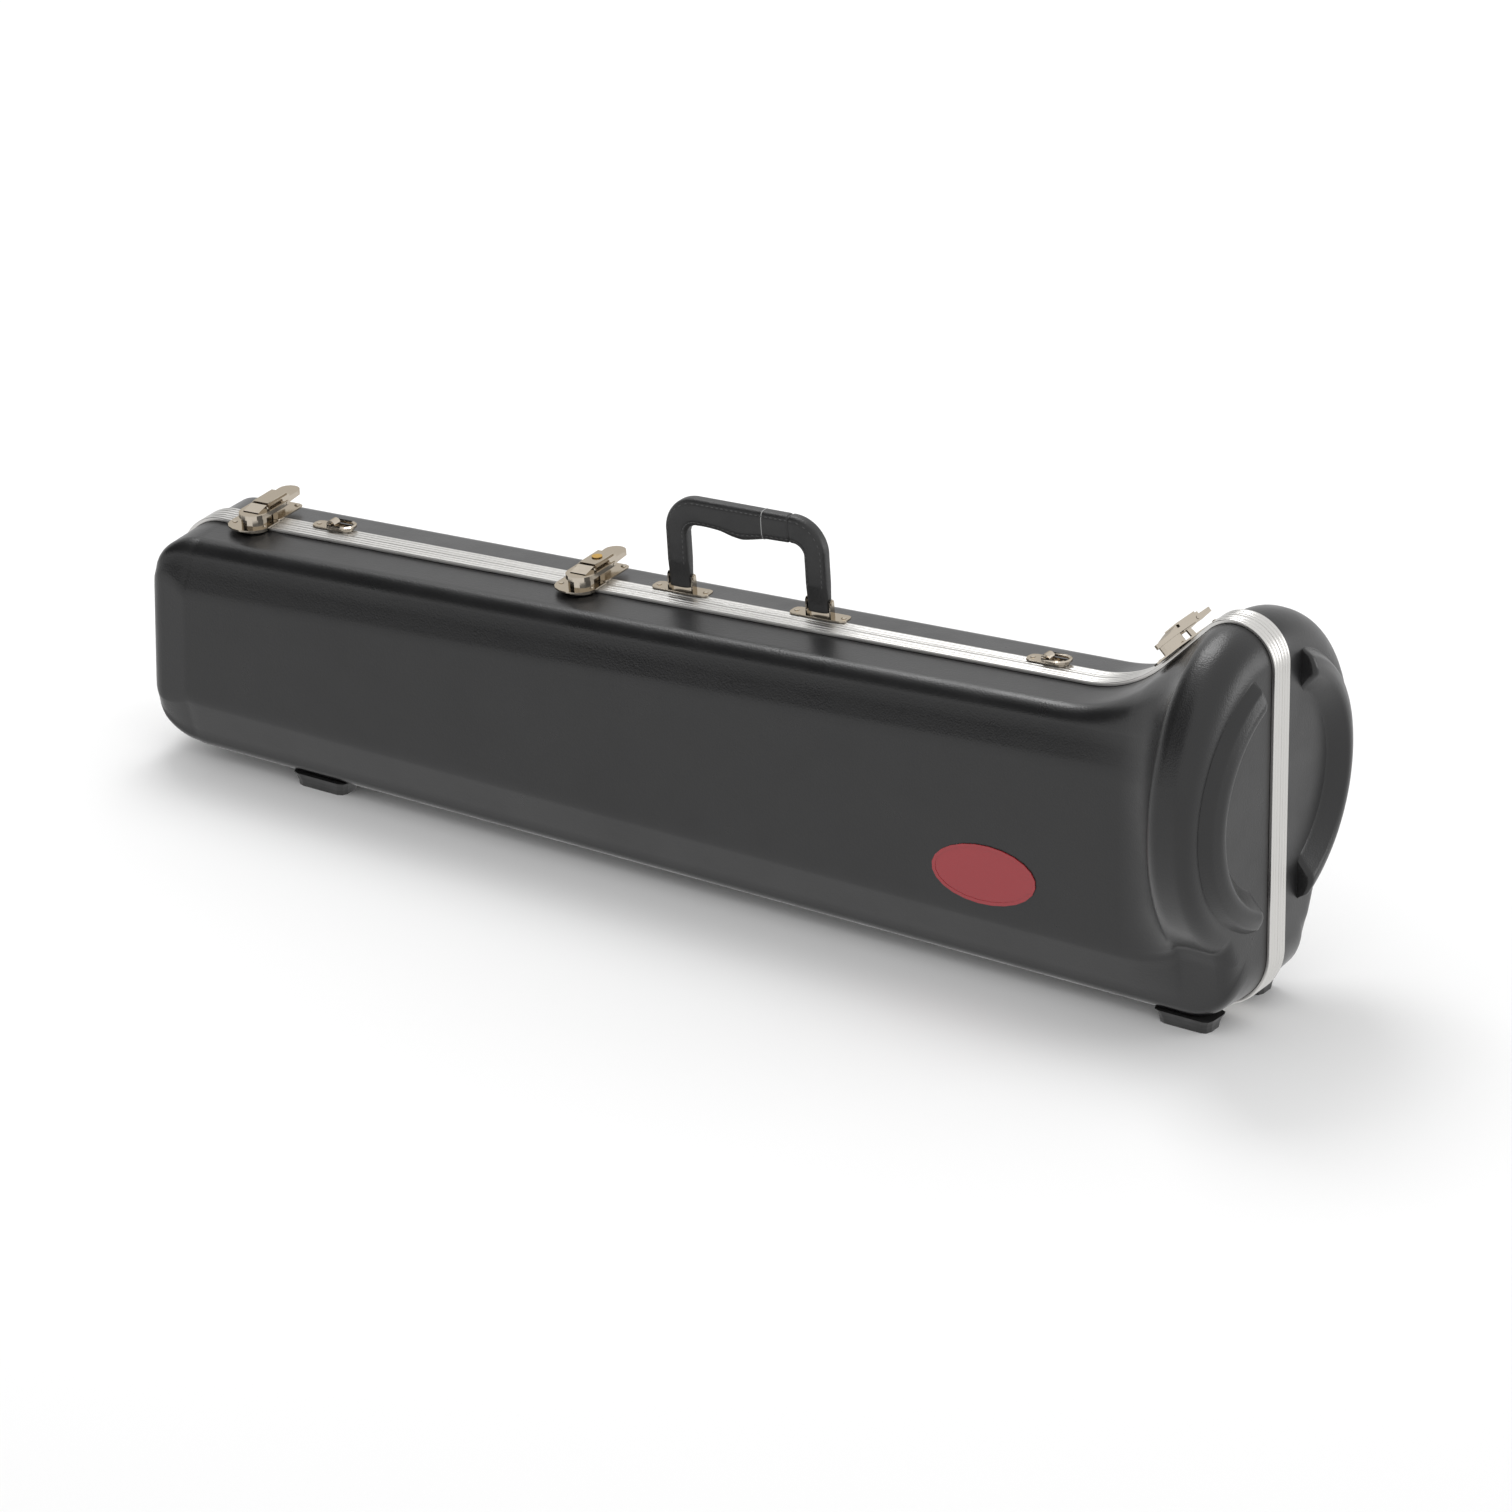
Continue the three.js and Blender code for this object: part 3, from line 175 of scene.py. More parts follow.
def parabola(first, corner, last, s):
    """The curve (1 - s)^2 first + 2 s (1 - s) corner + s^2 last, which rounds a corner off."""
    return (1 - s) ** 2 * first + 2 * s * (1 - s) * corner + s * s * last


def distances(path):
    """How far along a path each of its points lies."""
    return np.concatenate([[0], np.cumsum(np.linalg.norm(np.diff(path, axis=0), axis=1))])


def walked(path, travelled, places):
    """The rows of a path at the places, given how far along it each row lies."""
    return np.stack([np.interp(places, travelled, column) for column in path.T], -1)


# %% [markdown]
# ## The outline of the case
# From the side the case rises gently from its narrow end, sweeps up in a hollow curve, climbs at 46
# degrees and rolls over a crown into the flat bell end. Each stretch is an arc or a line, so one function
# of x gives the height of the parting edge, and another the underside with its two round corners. Every
# arc begins and ends in the direction of its neighbour. Each shell's rim stops two millimetres short of the
# seam, and the valance lies on a flat land beside it.

# %% Outline in side view
LENGTH, WALL = 936.0, 3.0
NARROW_TOP, RISE, BOTTOM = 176.0, 0.069, 9.0
BELL_MIDDLE, BELL_TOP, BELL_RADIUS, BELL_DROP = 180.0, 307.0, 118.0, 122.0
RIM, LAND = 2.0, 11.2
TOP_CORNER, BOTTOM_CORNER, END_CORNER = 35.0, 45.0, 12.0
CROWN, SWEEP, CLIMB = 30.0, 98.0, math.radians(46)
VALLEY, LIP, BLOCK_CORNER, BELL_CORNER = 50.0, 14.0, 14.0, 44.0
PANEL_DEPTH, BLOCK_DEPTH, BLOCK_TOP, BLOCK_FOOT = 64.0, 60.0, 62.0, 52.0
END_DRAFT = 0.035

rise_angle = math.atan(RISE)
crown_x, crown_z = LENGTH - CROWN, BELL_TOP - CROWN
climb_end_x = crown_x - CROWN * math.sin(CLIMB)
climb_end_z = crown_z + CROWN * math.cos(CLIMB)
meet_x = (climb_end_z - math.tan(CLIMB) * climb_end_x - NARROW_TOP) / (RISE - math.tan(CLIMB))
tangent = SWEEP * math.tan((CLIMB - rise_angle) / 2)
sweep_start = meet_x - tangent * math.cos(rise_angle)
sweep_end = meet_x + tangent * math.cos(CLIMB)
sweep_x = sweep_start - SWEEP * math.sin(rise_angle)
sweep_z = NARROW_TOP + RISE * sweep_start + SWEEP * math.cos(rise_angle)


def drop(radius, reach):
    """How far a circle of that radius falls at a sideways reach: r - sqrt(r^2 - reach^2), reach held to r."""
    reach = np.clip(reach, -radius, radius)
    return radius - np.sqrt(np.maximum(radius * radius - reach * reach, 0))


def body_top(x):
    """The straight line that the narrow part's top follows."""
    return NARROW_TOP + RISE * x


def top_at(x):
    """Height of the parting edge's top: corner arc, line, sweep arc, climbing line and crown arc in turn."""
    x = np.asarray(x, float)
    corner = body_top(TOP_CORNER) - drop(TOP_CORNER, TOP_CORNER - x)
    sweep = sweep_z - SWEEP + drop(SWEEP, x - sweep_x)
    climb = climb_end_z - math.tan(CLIMB) * (climb_end_x - x)
    crown = BELL_TOP - drop(CROWN, x - crown_x)
    return np.select([x < TOP_CORNER, x < sweep_start, x < sweep_end, x < climb_end_x],
                     [corner, body_top(x), sweep, climb], crown)


def bottom_at(x):
    """Height of the underside, lifted by an arc at each end."""
    return (BOTTOM + drop(BOTTOM_CORNER, np.maximum(BOTTOM_CORNER - x, 0))
            + drop(BELL_CORNER, np.maximum(x - LENGTH + BELL_CORNER, 0)))


print("sweep from", round(sweep_start, 1), "to", round(sweep_end, 1))

# %% [markdown]
# ## Half sections of a shell
# Cut across, one moulded half is a profile from the top of the seam round to its bottom. At the narrow
# part it has a flat top, a rounded shoulder, a wide upper bevel, an upright panel and a lower bevel. At
# the bell end it is a round arch on a rectangular block. A number t runs along the profile, from 0 to 16,
# so that the same t is the same feature in every section. True arcs stand where the mould has arcs, and
# the edges between flat parts are rounded by short parabolas.

# %% Narrow profile and bell profile
FEATURES = 16
SHOULDER_TURN, SHOULDER_SHARES = math.radians(80), np.array([0, 0.44, 0.72, 1])
SHOULDER_RADIUS, SHOULDER_FALL, END_TAPER = 15.0, 1.5, 4.0
UPPER_BEVEL, LOWER_BEVEL, BEVEL_LEAST = (11.0, 25.0), (12.0, 34.0), 0.2
LOWER_KEY, FOOT_RADIUS, SOLE_RISE, BLOCK_LEAST, BLOCK_FADE = 0.3, 9.0, 2.0, 13.0, 20.0
BELL_ANGLES = np.array([0.09, 0.17, 0.25, 0.33, 0.41, 0.5, 0.6, 0.71, 0.835]) * math.pi
TOP_GROWTH = np.array([0, 0, 0.12, 0.3, 0.5, 0.7, 0.9] + [1.0] * (FEATURES - 6))
NARROW_EDGES, BELL_EDGES = ((6, 0.22), (10, 0.34)), ((10, 0.12), (11, 0.12))


def along(keys, t):
    """Points on the broken line through the keys (rows, features, 2) at each t."""
    k = np.clip(np.floor(t).astype(int), 0, FEATURES - 1)
    f = (t - k)[None, :, None]
    return keys[:, k] * (1 - f) + keys[:, k + 1] * f


def stacked(keys):
    """A list of key points, each a column of depths and one of heights, as an array (rows, features, 2)."""
    return np.stack([np.stack(key, -1) for key in keys], 1)


def foot_keys(foot, low, bottom):
    """The last key points: down round the foot, along the sole and over the land to the seam."""
    cut = FOOT_RADIUS * (1 - math.sqrt(0.5))
    return [(foot, low + FOOT_RADIUS), (foot - cut, low + cut), (foot - FOOT_RADIUS, low),
            (LAND + 0 * low, bottom), (RIM + 0 * low, bottom)]


def round_off(result, keys, t, edges, foot, low):
    """Parabolas over the edges, each (t, half width), and a quarter circle at the foot, t from 12 to 14."""
    for edge, half in edges:
        near = np.abs(t - edge) < half
        s = (((t[near] - edge) / half + 1) / 2)[None, :, None]
        first, corner, last = (along(keys, np.array([v])) for v in (edge - half, edge, edge + half))
        result[:, near] = parabola(first, corner, last, s)
    arc = (t > 12) & (t < 14)
    a = ((t[arc] - 12) * math.pi / 4)[None, :]
    result[:, arc] = np.stack([foot[:, None] - FOOT_RADIUS * (1 - np.cos(a)),
                               low[:, None] + FOOT_RADIUS * (1 - np.sin(a))], -1)
    return result


def narrow_profile(x, t):
    """Depth and height of the bevelled profile at every x and t; bevels shrink towards the narrow end."""
    share = np.clip(x / TOP_CORNER, 0, 1)
    bevel = BEVEL_LEAST + (1 - BEVEL_LEAST) * share
    depth = PANEL_DEPTH - END_TAPER * (1 - share) - drop(END_CORNER, np.maximum(END_CORNER - x, 0))
    radius = SHOULDER_RADIUS * (1 - (1 - share) * SHOULDER_TURN / math.pi)
    flat = depth - radius * math.sin(SHOULDER_TURN) - UPPER_BEVEL[0] * bevel
    top = np.where(x < TOP_CORNER, top_at(x), body_top(x))
    bottom = np.where(x < BOTTOM_CORNER, bottom_at(x), BOTTOM)
    shoulder_z = top - SHOULDER_FALL * share
    turns = SHOULDER_SHARES * SHOULDER_TURN
    keys = [(RIM + 0 * x, top), (LAND + 0 * x, top), (flat, shoulder_z)]
    keys += [(flat + radius * math.sin(a), shoulder_z - radius * (1 - math.cos(a))) for a in turns[1:]]
    upper = keys[-1][1] - UPPER_BEVEL[1] * bevel
    low = bottom + SOLE_RISE * share
    lower = low + FOOT_RADIUS + LOWER_BEVEL[1] * bevel
    foot = depth - LOWER_BEVEL[0] * bevel
    keys += [(depth, upper + (lower - upper) * s) for s in (0, 0.25, 0.5, 0.75, 1)]
    keys += [(depth + (foot - depth) * LOWER_KEY, lower + (low + FOOT_RADIUS - lower) * LOWER_KEY)]
    keys = stacked(keys + foot_keys(foot, low, bottom))
    result = along(keys, t)
    arc = (t > 2) & (t < 5)
    a = np.interp(t[arc], [2, 3, 4, 5], turns)[None, :]
    result[:, arc] = np.stack([flat[:, None] + radius[:, None] * np.sin(a),
                               shoulder_z[:, None] - radius[:, None] * (1 - np.cos(a))], -1)
    return round_off(result, keys, t, NARROW_EDGES, foot, low)


def arch(angle):
    """Depth and height of the round arch at an angle from its top, taller above its middle than below."""
    height = np.where(angle < math.pi / 2, BELL_TOP - BELL_MIDDLE, BELL_DROP)
    return LAND + (BELL_RADIUS - LAND) * np.sin(angle), BELL_MIDDLE + height * np.cos(angle)


def bell_profile(x, t):
    """Depth and height of the round arch and its base block at every x and t."""
    fixed = np.ones_like(x)
    bottom = bottom_at(x)
    low = bottom + SOLE_RISE
    keys = [(RIM * fixed, BELL_TOP * fixed), (LAND * fixed, BELL_TOP * fixed)]
    keys += [(depth * fixed, z * fixed) for depth, z in zip(*arch(BELL_ANGLES))]
    keys += [(BLOCK_DEPTH * fixed, np.maximum(BLOCK_TOP, low + BLOCK_LEAST))]
    keys = stacked(keys + foot_keys(BLOCK_FOOT * fixed, low, bottom))
    result = along(keys, t)
    arc = (t > 1) & (t < 10)
    angle = np.interp(t[arc], np.arange(1, 11), np.concatenate([[0], BELL_ANGLES]))
    result[:, arc] = np.stack(arch(angle), -1)
    return round_off(result, keys, t, BELL_EDGES, BLOCK_FOOT * fixed, low)


print("panel at depth", narrow_profile(np.array([300.0]), np.array([8.0]))[0, 0, 0], "mm")

# %% [markdown]
# ## From the narrow profile to the bell profile
# The flanks grow from one profile to the other in a hollow valley and a round lip, two arcs that meet
# where they run the same way. The top grows as the outline climbs. Beyond the crown every point of the
# arch moves in along its own radius, which rounds the edge of the bell end, and a slight draft leans the
# end face back so that the part leaves its mould.

# %% Blend of the profiles
bulge = BELL_RADIUS - PANEL_DEPTH
bulge_turn = math.acos(1 - bulge / (VALLEY + LIP))
bulge_start = crown_x - (VALLEY + LIP) * math.sin(bulge_turn)
bulge_middle = bulge_start + VALLEY * math.sin(bulge_turn)


def flank_growth(x):
    """From 0 at the valley's start to 1 at the crown: a hollow arc, then a round one."""
    hollow = drop(VALLEY, x - bulge_start) / bulge
    lip = 1 - drop(LIP, crown_x - x) / bulge
    return np.select([x <= bulge_start, x >= crown_x, x < bulge_middle], [0.0, 1.0, hollow], lip)


def top_growth(x):
    """Share of the climb that the outline has made at x."""
    return np.clip((top_at(np.minimum(x, crown_x)) - body_top(x)) / (BELL_TOP - body_top(x)), 0, 1)


def half_section(x, t):
    """Points (x, depth, height) of one half's outer face for every x and t."""
    x = np.asarray(x, float)
    narrow, bell = narrow_profile(x, t), bell_profile(x, t)
    top_share = 1 - np.interp(t, np.arange(FEATURES + 1), TOP_GROWTH)[None, :]
    growth = (flank_growth(x)[:, None] * (1 - top_share) + top_growth(x)[:, None] * top_share)[..., None]
    depth, z = np.moveaxis(narrow * (1 - growth) + bell * growth, -1, 0)
    z = np.where((t <= 1)[None, :], top_at(x)[:, None], z)
    reach = np.maximum(x - crown_x, 0)[:, None]
    radius = LIP * (1 - top_share) + CROWN * top_share
    inset = drop(radius, np.maximum(reach - CROWN + radius, 0))
    away = np.hypot(depth, z - BELL_MIDDLE)
    on_arch = ((t > 1) & (t < 11))[None, :]
    fade = np.clip(11 - t, 0, 1)[None, :]
    moved_depth = np.where(on_arch, depth - inset * fade * depth / away, depth)
    moved_z = np.where(on_arch, z - inset * fade * (z - BELL_MIDDLE) / away, z)
    block = drop(BLOCK_CORNER, np.maximum(reach - CROWN + BLOCK_CORNER, 0))
    block = block * np.clip((depth - LAND) / BLOCK_FADE, 0, 1)
    on_block = (t >= 10) & (depth > LAND)
    moved_depth = np.where(on_block, moved_depth - block * (1 - fade), moved_depth)
    draft = END_DRAFT * np.maximum(moved_depth - LAND, 0) * reach / CROWN
    return np.stack([x[:, None] - draft, moved_depth, moved_z], -1)


print("valley from", round(bulge_start, 1), "lip from", round(bulge_middle, 1), "crown from", crown_x)

# %% [markdown]
# ## One shell as one grid
# On the real case each half is one sheet of black plastic, drawn hot into a mould. So it is one grid here:
# rows along the length, closer where the form turns, and columns round the section. The two ends are
# closed in the same grid: from the outline of the end face, rings shrink towards the middle of the seam,
# so no two rows lie on one line. A wall is then given to the whole skin inwards, as thick as the sheet.

# %% Shell surfaces
COLUMNS = ((0, 2), (1, 6), (2, 6), (3, 5), (4, 5), (5, 2), (5.78, 6), (6.22, 4), (7, 4), (8, 4), (9, 3),
           (9.66, 10), (10.34, 3), (10.88, 5), (11.12, 3), (12, 5), (13, 5), (14, 6), (15, 2), (16, 0))
ROWS = ((END_CORNER, 10), (TOP_CORNER, 5), (BOTTOM_CORNER, 12), (sweep_start - 40, 8), (sweep_start, 14),
        (bulge_start, 26), (bulge_middle, 12), (crown_x, 0))
END_ROWS, CROWN_ROWS, END_RINGS, END_MIDDLE_SHARE, SHELL_CREASE = 9, 18, 12, 0.9, 50


def shell_grid():
    """Rows from inside the narrow end face out over the whole half and onto the bell end face, for +Y."""
    end, crown = (np.linspace(0, math.pi / 2, count) for count in (END_ROWS, CROWN_ROWS))
    x = np.concatenate([END_CORNER * (1 - np.cos(end[:-1])), fine(*ROWS),
                        crown_x + CROWN * np.sin(crown[1:])])
    body = half_section(x, fine(*COLUMNS))
    inwards = fine((0, END_RINGS), (1, 0))[1:, None]
    first, last = (np.stack([edge[:, 0] + 0 * inwards, edge[:, 1] + (RIM - edge[:, 1]) * inwards,
                             edge[:, 2] + ((edge[0, 2] + edge[-1, 2]) / 2 - edge[:, 2])
                             * END_MIDDLE_SHARE * inwards], -1)
                   for edge in (body[0], body[-1]))
    last[..., 0] = LENGTH - END_DRAFT * np.maximum(last[..., 1] - LAND, 0)
    return np.concatenate([first[::-1], body, last])


def shell(name, points, side, body):
    """A wall of the shell's thickness behind the outer grid; side is +1 for the body, -1 for the lid."""
    obj = piece(name, row_frame(points), grid_faces(*points.shape[:2]))
    look_along(obj, (0, side, 0))
    thicken(obj, "wall", WALL)
    sharpen(obj, SHELL_CREASE)
    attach(obj, body)
    return obj


half_shell = shell_grid()
back_shell = shell("moulded_body_shell", half_shell, 1, "body")
front_shell = shell("moulded_lid_shell", mirrored(half_shell), -1, "lid")
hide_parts("back_shell")
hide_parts("front_shell")
for obj in (back_shell, front_shell):
    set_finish(obj, "shell_plastic")
    print(obj.name, half_shell.shape[:2], "grid,", len(obj.data.polygons), "faces")

# %% [markdown]
# ## The crescent bumpers
# Each half's end face carries a thick crescent round the bell's axis, which takes the knock when the case
# is stood on end. It is one section swept through an angle: a slope up to the crest, a fall of four
# millimetres, and a steep outer wall. Both ends are cut by a plane beside the seam, so the angle there
# depends on the radius, `angle = share * acos(cut / r)`, and a few rows round the cut's edge.

# %% Bumpers
RING_INNER, RING_CREST, RING_BAND, RING_SHOULDER, RING_OUTER = 74.0, 87.0, 92.2, 100.0, 104.5
RING_HEIGHT, RING_EDGE_HEIGHT, RING_ROOT, RING_SINK = 12.0, 8.0, -0.6, 100.0
RING_END, RING_ROUND, RING_ROWS, RING_END_ROWS, RING_CREASE = 33.0, 4.0, 88, 6, 40
BEND_STEPS, BEND_SHARE = 5, 0.48
RING_SECTION = ((RING_INNER - 2.5, RING_ROOT, 0), (RING_INNER, 0, 2.2), (RING_CREST, RING_HEIGHT, 2.0),
                (RING_BAND, RING_HEIGHT, 3.0), (RING_SHOULDER, RING_EDGE_HEIGHT, 1.8),
                (RING_OUTER, 0, 1.4), (RING_OUTER + 1.5, RING_ROOT, 0))


def rounded(corners):
    """The broken line through corners (a, b, reach): each bend is a parabola that starts that far from it."""
    points = [corners[0][:2]]
    s = np.linspace(0, 1, BEND_STEPS + 1)[:, None]
    for before, (a, b, reach), after in zip(corners, corners[1:], corners[2:]):
        here = np.array((a, b), float)
        sides = [np.array(other[:2], float) - here for other in (before, after)]
        first, last = (here + side * min(reach / np.linalg.norm(side), BEND_SHARE) for side in sides)
        points += list(parabola(first, here, last, s))
    return np.array(points + [corners[-1][:2]], float)


def bumper_grid():
    """Rows along the crescent and columns round its section; the outermost rows go down into the face."""
    turn = np.linspace(0, math.pi / 2, RING_END_ROWS)
    end = np.array([[0, *RING_ROUND * (1 - np.cos(turn))], [RING_SINK, *RING_ROUND * (1 - np.sin(turn))]])
    middle = np.array([[RING_ROUND], [0.0]]) * np.ones(RING_ROWS)
    away, fall = np.concatenate([end, middle, end[:, ::-1]], 1)[:, :, None]
    share = np.linspace(-1, 1, RING_ROWS + 2)[1:-1]
    share = np.pad(share, RING_END_ROWS + 1, constant_values=(-1, 1))[:, None]
    radius, height = rounded(RING_SECTION).T
    angle = share * np.arccos((RING_END + away) / radius)
    depth = radius * np.cos(angle)
    height = np.maximum(height - fall, RING_ROOT)
    x = LENGTH + height - END_DRAFT * (depth - LAND)
    return np.stack([x, depth, BELL_MIDDLE + radius * np.sin(angle)], -1)


crescent = bumper_grid()
for name, points, body in (("body_bumper", crescent, "body"), ("lid_bumper", mirrored(crescent), "lid")):
    obj = piece(name, row_frame(points), grid_faces(*points.shape[:2]))
    look_along(obj, (1, 0, 0))
    sharpen(obj, RING_CREASE)
    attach(obj, body)
    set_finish(obj, "shell_plastic")
    print(name, len(obj.data.polygons), "faces")

# %% [markdown]
# ## The valances
# Both rims are bound by an aluminium extrusion that a maker bends round the case: three flat ribs parted by
# round grooves, and a web that goes in over the shell's edge. Its section is carried along the parting
# outline: every point of the outline has its own outward direction, and the section's height is measured
# along that. Even steps keep the ribs smooth through the bends.

# %% Valances
VALANCE_WIDTH, VALANCE_HEIGHT, SEAM_HALF, WEB_DEPTH, PLAY = 10.8, 3.0, 0.15, 4.0, 0.3
GROOVES, GROOVE_HALF, GROOVE_DEPTH, OUTER_ROUND, INNER_ROUND = (7.5, 3.9), 0.95, 0.5, 0.9, 0.63
OUTLINE_STEPS, CORNER_STEPS, CROWN_STEPS, VALANCE_CREASE = 1100, 40, 80, 65
EDGE_STEPS, GROOVE_STEPS = 5, 9
TOP_STEPS = ((60, 60), (sweep_start, 160), (sweep_end, 30), (climb_end_x - 1, 0))
LOW_STEPS = ((60, 60), (LENGTH - BELL_CORNER - 2, 0))


def seam_outline():
    """Points (x, z) at even steps round the parting edge, with their outward directions."""
    quarter = np.linspace(0, math.pi / 2, CORNER_STEPS)
    over = np.linspace(-CLIMB, math.pi / 2, CROWN_STEPS)
    x_top = np.concatenate([TOP_CORNER * (1 - np.cos(quarter)), fine(*TOP_STEPS),
                            crown_x + CROWN * np.sin(over)])
    x_low = np.concatenate([BOTTOM_CORNER * (1 - np.cos(quarter)), fine(*LOW_STEPS),
                            LENGTH - BELL_CORNER + BELL_CORNER * np.sin(quarter)])[::-1]
    top = np.stack([x_top, top_at(x_top)], -1)
    low = np.stack([x_low, bottom_at(x_low)], -1)
    path = np.concatenate([top, low, top[:1]])
    travelled = distances(path)
    outline = walked(path, travelled, np.linspace(0, travelled[-1], OUTLINE_STEPS, endpoint=False))
    run = np.roll(outline, -2, 0) - np.roll(outline, 2, 0)
    run /= np.linalg.norm(run, axis=1, keepdims=True)
    return outline, np.stack([-run[:, 1], run[:, 0]], -1)


def valance_profile():
    """Section (depth, height): web, underside, outer edge, grooves as raised cosines, edge at the seam."""
    rim = RIM - PLAY
    turn = np.linspace(0, math.pi / 2, EDGE_STEPS)
    cut = 1 - np.stack([np.sin(turn), np.cos(turn)], -1)
    outer = np.array([VALANCE_WIDTH, VALANCE_HEIGHT]) - OUTER_ROUND * cut[::-1]
    inner = np.array([SEAM_HALF, VALANCE_HEIGHT]) + np.array([INNER_ROUND, -INNER_ROUND]) * cut
    reach = np.linspace(-1, 1, GROOVE_STEPS)
    grooves = [np.stack([middle - GROOVE_HALF * reach,
                         VALANCE_HEIGHT - GROOVE_DEPTH * (1 + np.cos(math.pi * reach)) / 2], -1)
               for middle in GROOVES]
    start = [[SEAM_HALF, -WEB_DEPTH], [rim, -WEB_DEPTH], [rim, PLAY], [VALANCE_WIDTH, PLAY]]
    return np.concatenate([start, outer, *grooves, inner])


outline, outward = seam_outline()
profile = valance_profile()
strip = np.stack([outline[None, :, 0] + outward[None, :, 0] * profile[:, 1:2],
                  np.broadcast_to(profile[:, :1], (len(profile), len(outline))),
                  outline[None, :, 1] + outward[None, :, 1] * profile[:, 1:2]], -1)
for name, points, original, body in (("ribbed_body_valance", strip, "back_valance", "body"),
                                     ("ribbed_lid_valance", mirrored(strip), "front_valance", "lid")):
    obj = piece(name, row_frame(points), grid_faces(len(profile), len(outline), True, True), FINE_MERGE)
    sharpen(obj, VALANCE_CREASE)
    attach(obj, body)
    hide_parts(original)
    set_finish(obj, "valance_aluminium")
    print(name, len(obj.data.polygons), "faces")

# %% [markdown]
# ## The handle
# The handle is a steel strap in a stitched cover: a flat-sided bar bent into an inverted U, thicker under
# the palm. Its path is a post, a quarter bend and the straight grip, mirrored. At every step of the path a
# rounded section is set across it, `out = |cos|^p` and `side = |sin|^p` with p = 0.6, whose inner half
# grows where the palm sits. A shallow furrow runs along both edges of each face for the stitches, and a
# deeper crease ends the pad near the bell-side bend.

# %% Handle
HANDLE_X = 0.519 * LENGTH
AXIS_HEIGHT, GRIP_RISE, SPACING, ACROSS = 11.5, 54.0, 119.0, 13.0
POST, GRIP, FOOT_DEPTH, FULL_DEPTH, BEND, FOOT_DROP, TAPER = 18.0, 21.5, 9.0, 12.5, 18.0, 7.0, 14.0
SWELL_SHARES = (0, 0.1, 0.25, 0.36, 0.47, 0.58, 0.72, 0.88, 1)
SWELLS, SWELL_BLUR = (0, -0.2, 0.8, 3.6, 5.0, 3.2, 0.6, 0.3, 0), 9
POST_STEPS, TURN_STEPS, GRIP_STEPS, ROUND_STEPS = 36, 24, 140, 72
SQUARENESS, FURROW_SHARE, FURROW_WIDTH, FURROW_DEPTH = 0.6, 0.68, 0.06, 0.3
CREASE_AT, CREASE_WIDTH, CREASE_DEPTH, SOLE_SHARE, SOLE_DROP = 39.0, 0.9, 0.9, 0.25, 0.6
seam_direction = np.array([math.cos(rise_angle), 0, math.sin(rise_angle)])
seam_outward = np.array([-math.sin(rise_angle), 0, math.cos(rise_angle)])
handle_origin = np.array([HANDLE_X, 0, float(top_at(HANDLE_X))]) + seam_outward * VALANCE_HEIGHT


def handle_path():
    """Columns u, w, turn and swell along the middle of the bar, from foot to foot."""
    left, top = -SPACING / 2, AXIS_HEIGHT + GRIP_RISE
    w = np.linspace(AXIS_HEIGHT - FOOT_DROP, top - BEND, POST_STEPS, endpoint=False)
    post = np.stack([0 * w + left, w, 0 * w, 0 * w], -1)
    turn = np.linspace(0, math.pi / 2, TURN_STEPS, endpoint=False)
    bend = np.stack([left + BEND * (1 - np.cos(turn)), top - BEND * (1 - np.sin(turn)), turn, 0 * turn], -1)
    s = np.linspace(0, 1, GRIP_STEPS)
    blur = np.hanning(2 * SWELL_BLUR + 1)
    swell = np.interp(s, SWELL_SHARES, SWELLS)
    swell = np.convolve(np.pad(swell, SWELL_BLUR, mode="edge"), blur / blur.sum(), "valid")
    grip = np.stack([left + BEND + (SPACING - 2 * BEND) * s, 0 * s + top, 0 * s + math.pi / 2, swell], -1)
    side = np.concatenate([post, bend])
    other = side[::-1] * np.array([-1, 1, 1, 1])
    other[:, 2] = math.pi - other[:, 2]
    return np.concatenate([side, grip, other])


def handle_points(path, angle, grow=0.0):
    """Points (x, depth, z) of the bar's skin for every step of the path and every angle round the section."""
    u, w, turn, swell = path.T[:, :, None]
    full = np.clip((w - AXIS_HEIGHT) / TAPER, 0, 1)
    depth = (FOOT_DEPTH + (FULL_DEPTH - FOOT_DEPTH) * full) / 2
    width = (POST + (GRIP - POST) * np.abs(np.sin(turn))) / 2
    out_share = np.sign(np.cos(angle)) * np.abs(np.cos(angle)) ** SQUARENESS
    side_share = np.sign(np.sin(angle)) * np.abs(np.sin(angle)) ** SQUARENESS
    crease = np.exp(-((u - CREASE_AT) / CREASE_WIDTH) ** 2) * (w > AXIS_HEIGHT + GRIP_RISE / 2)
    furrow = FURROW_DEPTH * np.exp(-((np.abs(out_share) - FURROW_SHARE) / FURROW_WIDTH) ** 2) * full
    loose = grow - CREASE_DEPTH * crease
    out = out_share * (width + loose + np.where(out_share < 0, swell, 0))
    u_skin = u - out * np.cos(turn)
    w_skin = w + out * np.sin(turn)
    skin = handle_origin + u_skin[..., None] * seam_direction + w_skin[..., None] * seam_outward
    skin[..., 1] = ACROSS + side_share * (depth + loose - furrow)
    return skin


def sole(ring):
    """Two rings that close a foot just past its last ring: one drawn in, and its middle."""
    middle = np.repeat(ring.mean(0)[None], len(ring), 0)
    return np.stack([ring + (middle - ring) * SOLE_SHARE, middle]) - SOLE_DROP * seam_outward


path = handle_path()
angle = np.linspace(0, 2 * math.pi, ROUND_STEPS, endpoint=False)[None, :]
skin = handle_points(path, angle)
skin = np.concatenate([sole(skin[0])[::-1], skin, sole(skin[-1])])
cover = piece("stitched_handle", row_frame(skin), grid_faces(len(skin), ROUND_STEPS, False, True))
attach(cover, "handle")
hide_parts("handle")
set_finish(cover, "handle_leather")
print("handle rings", len(skin))

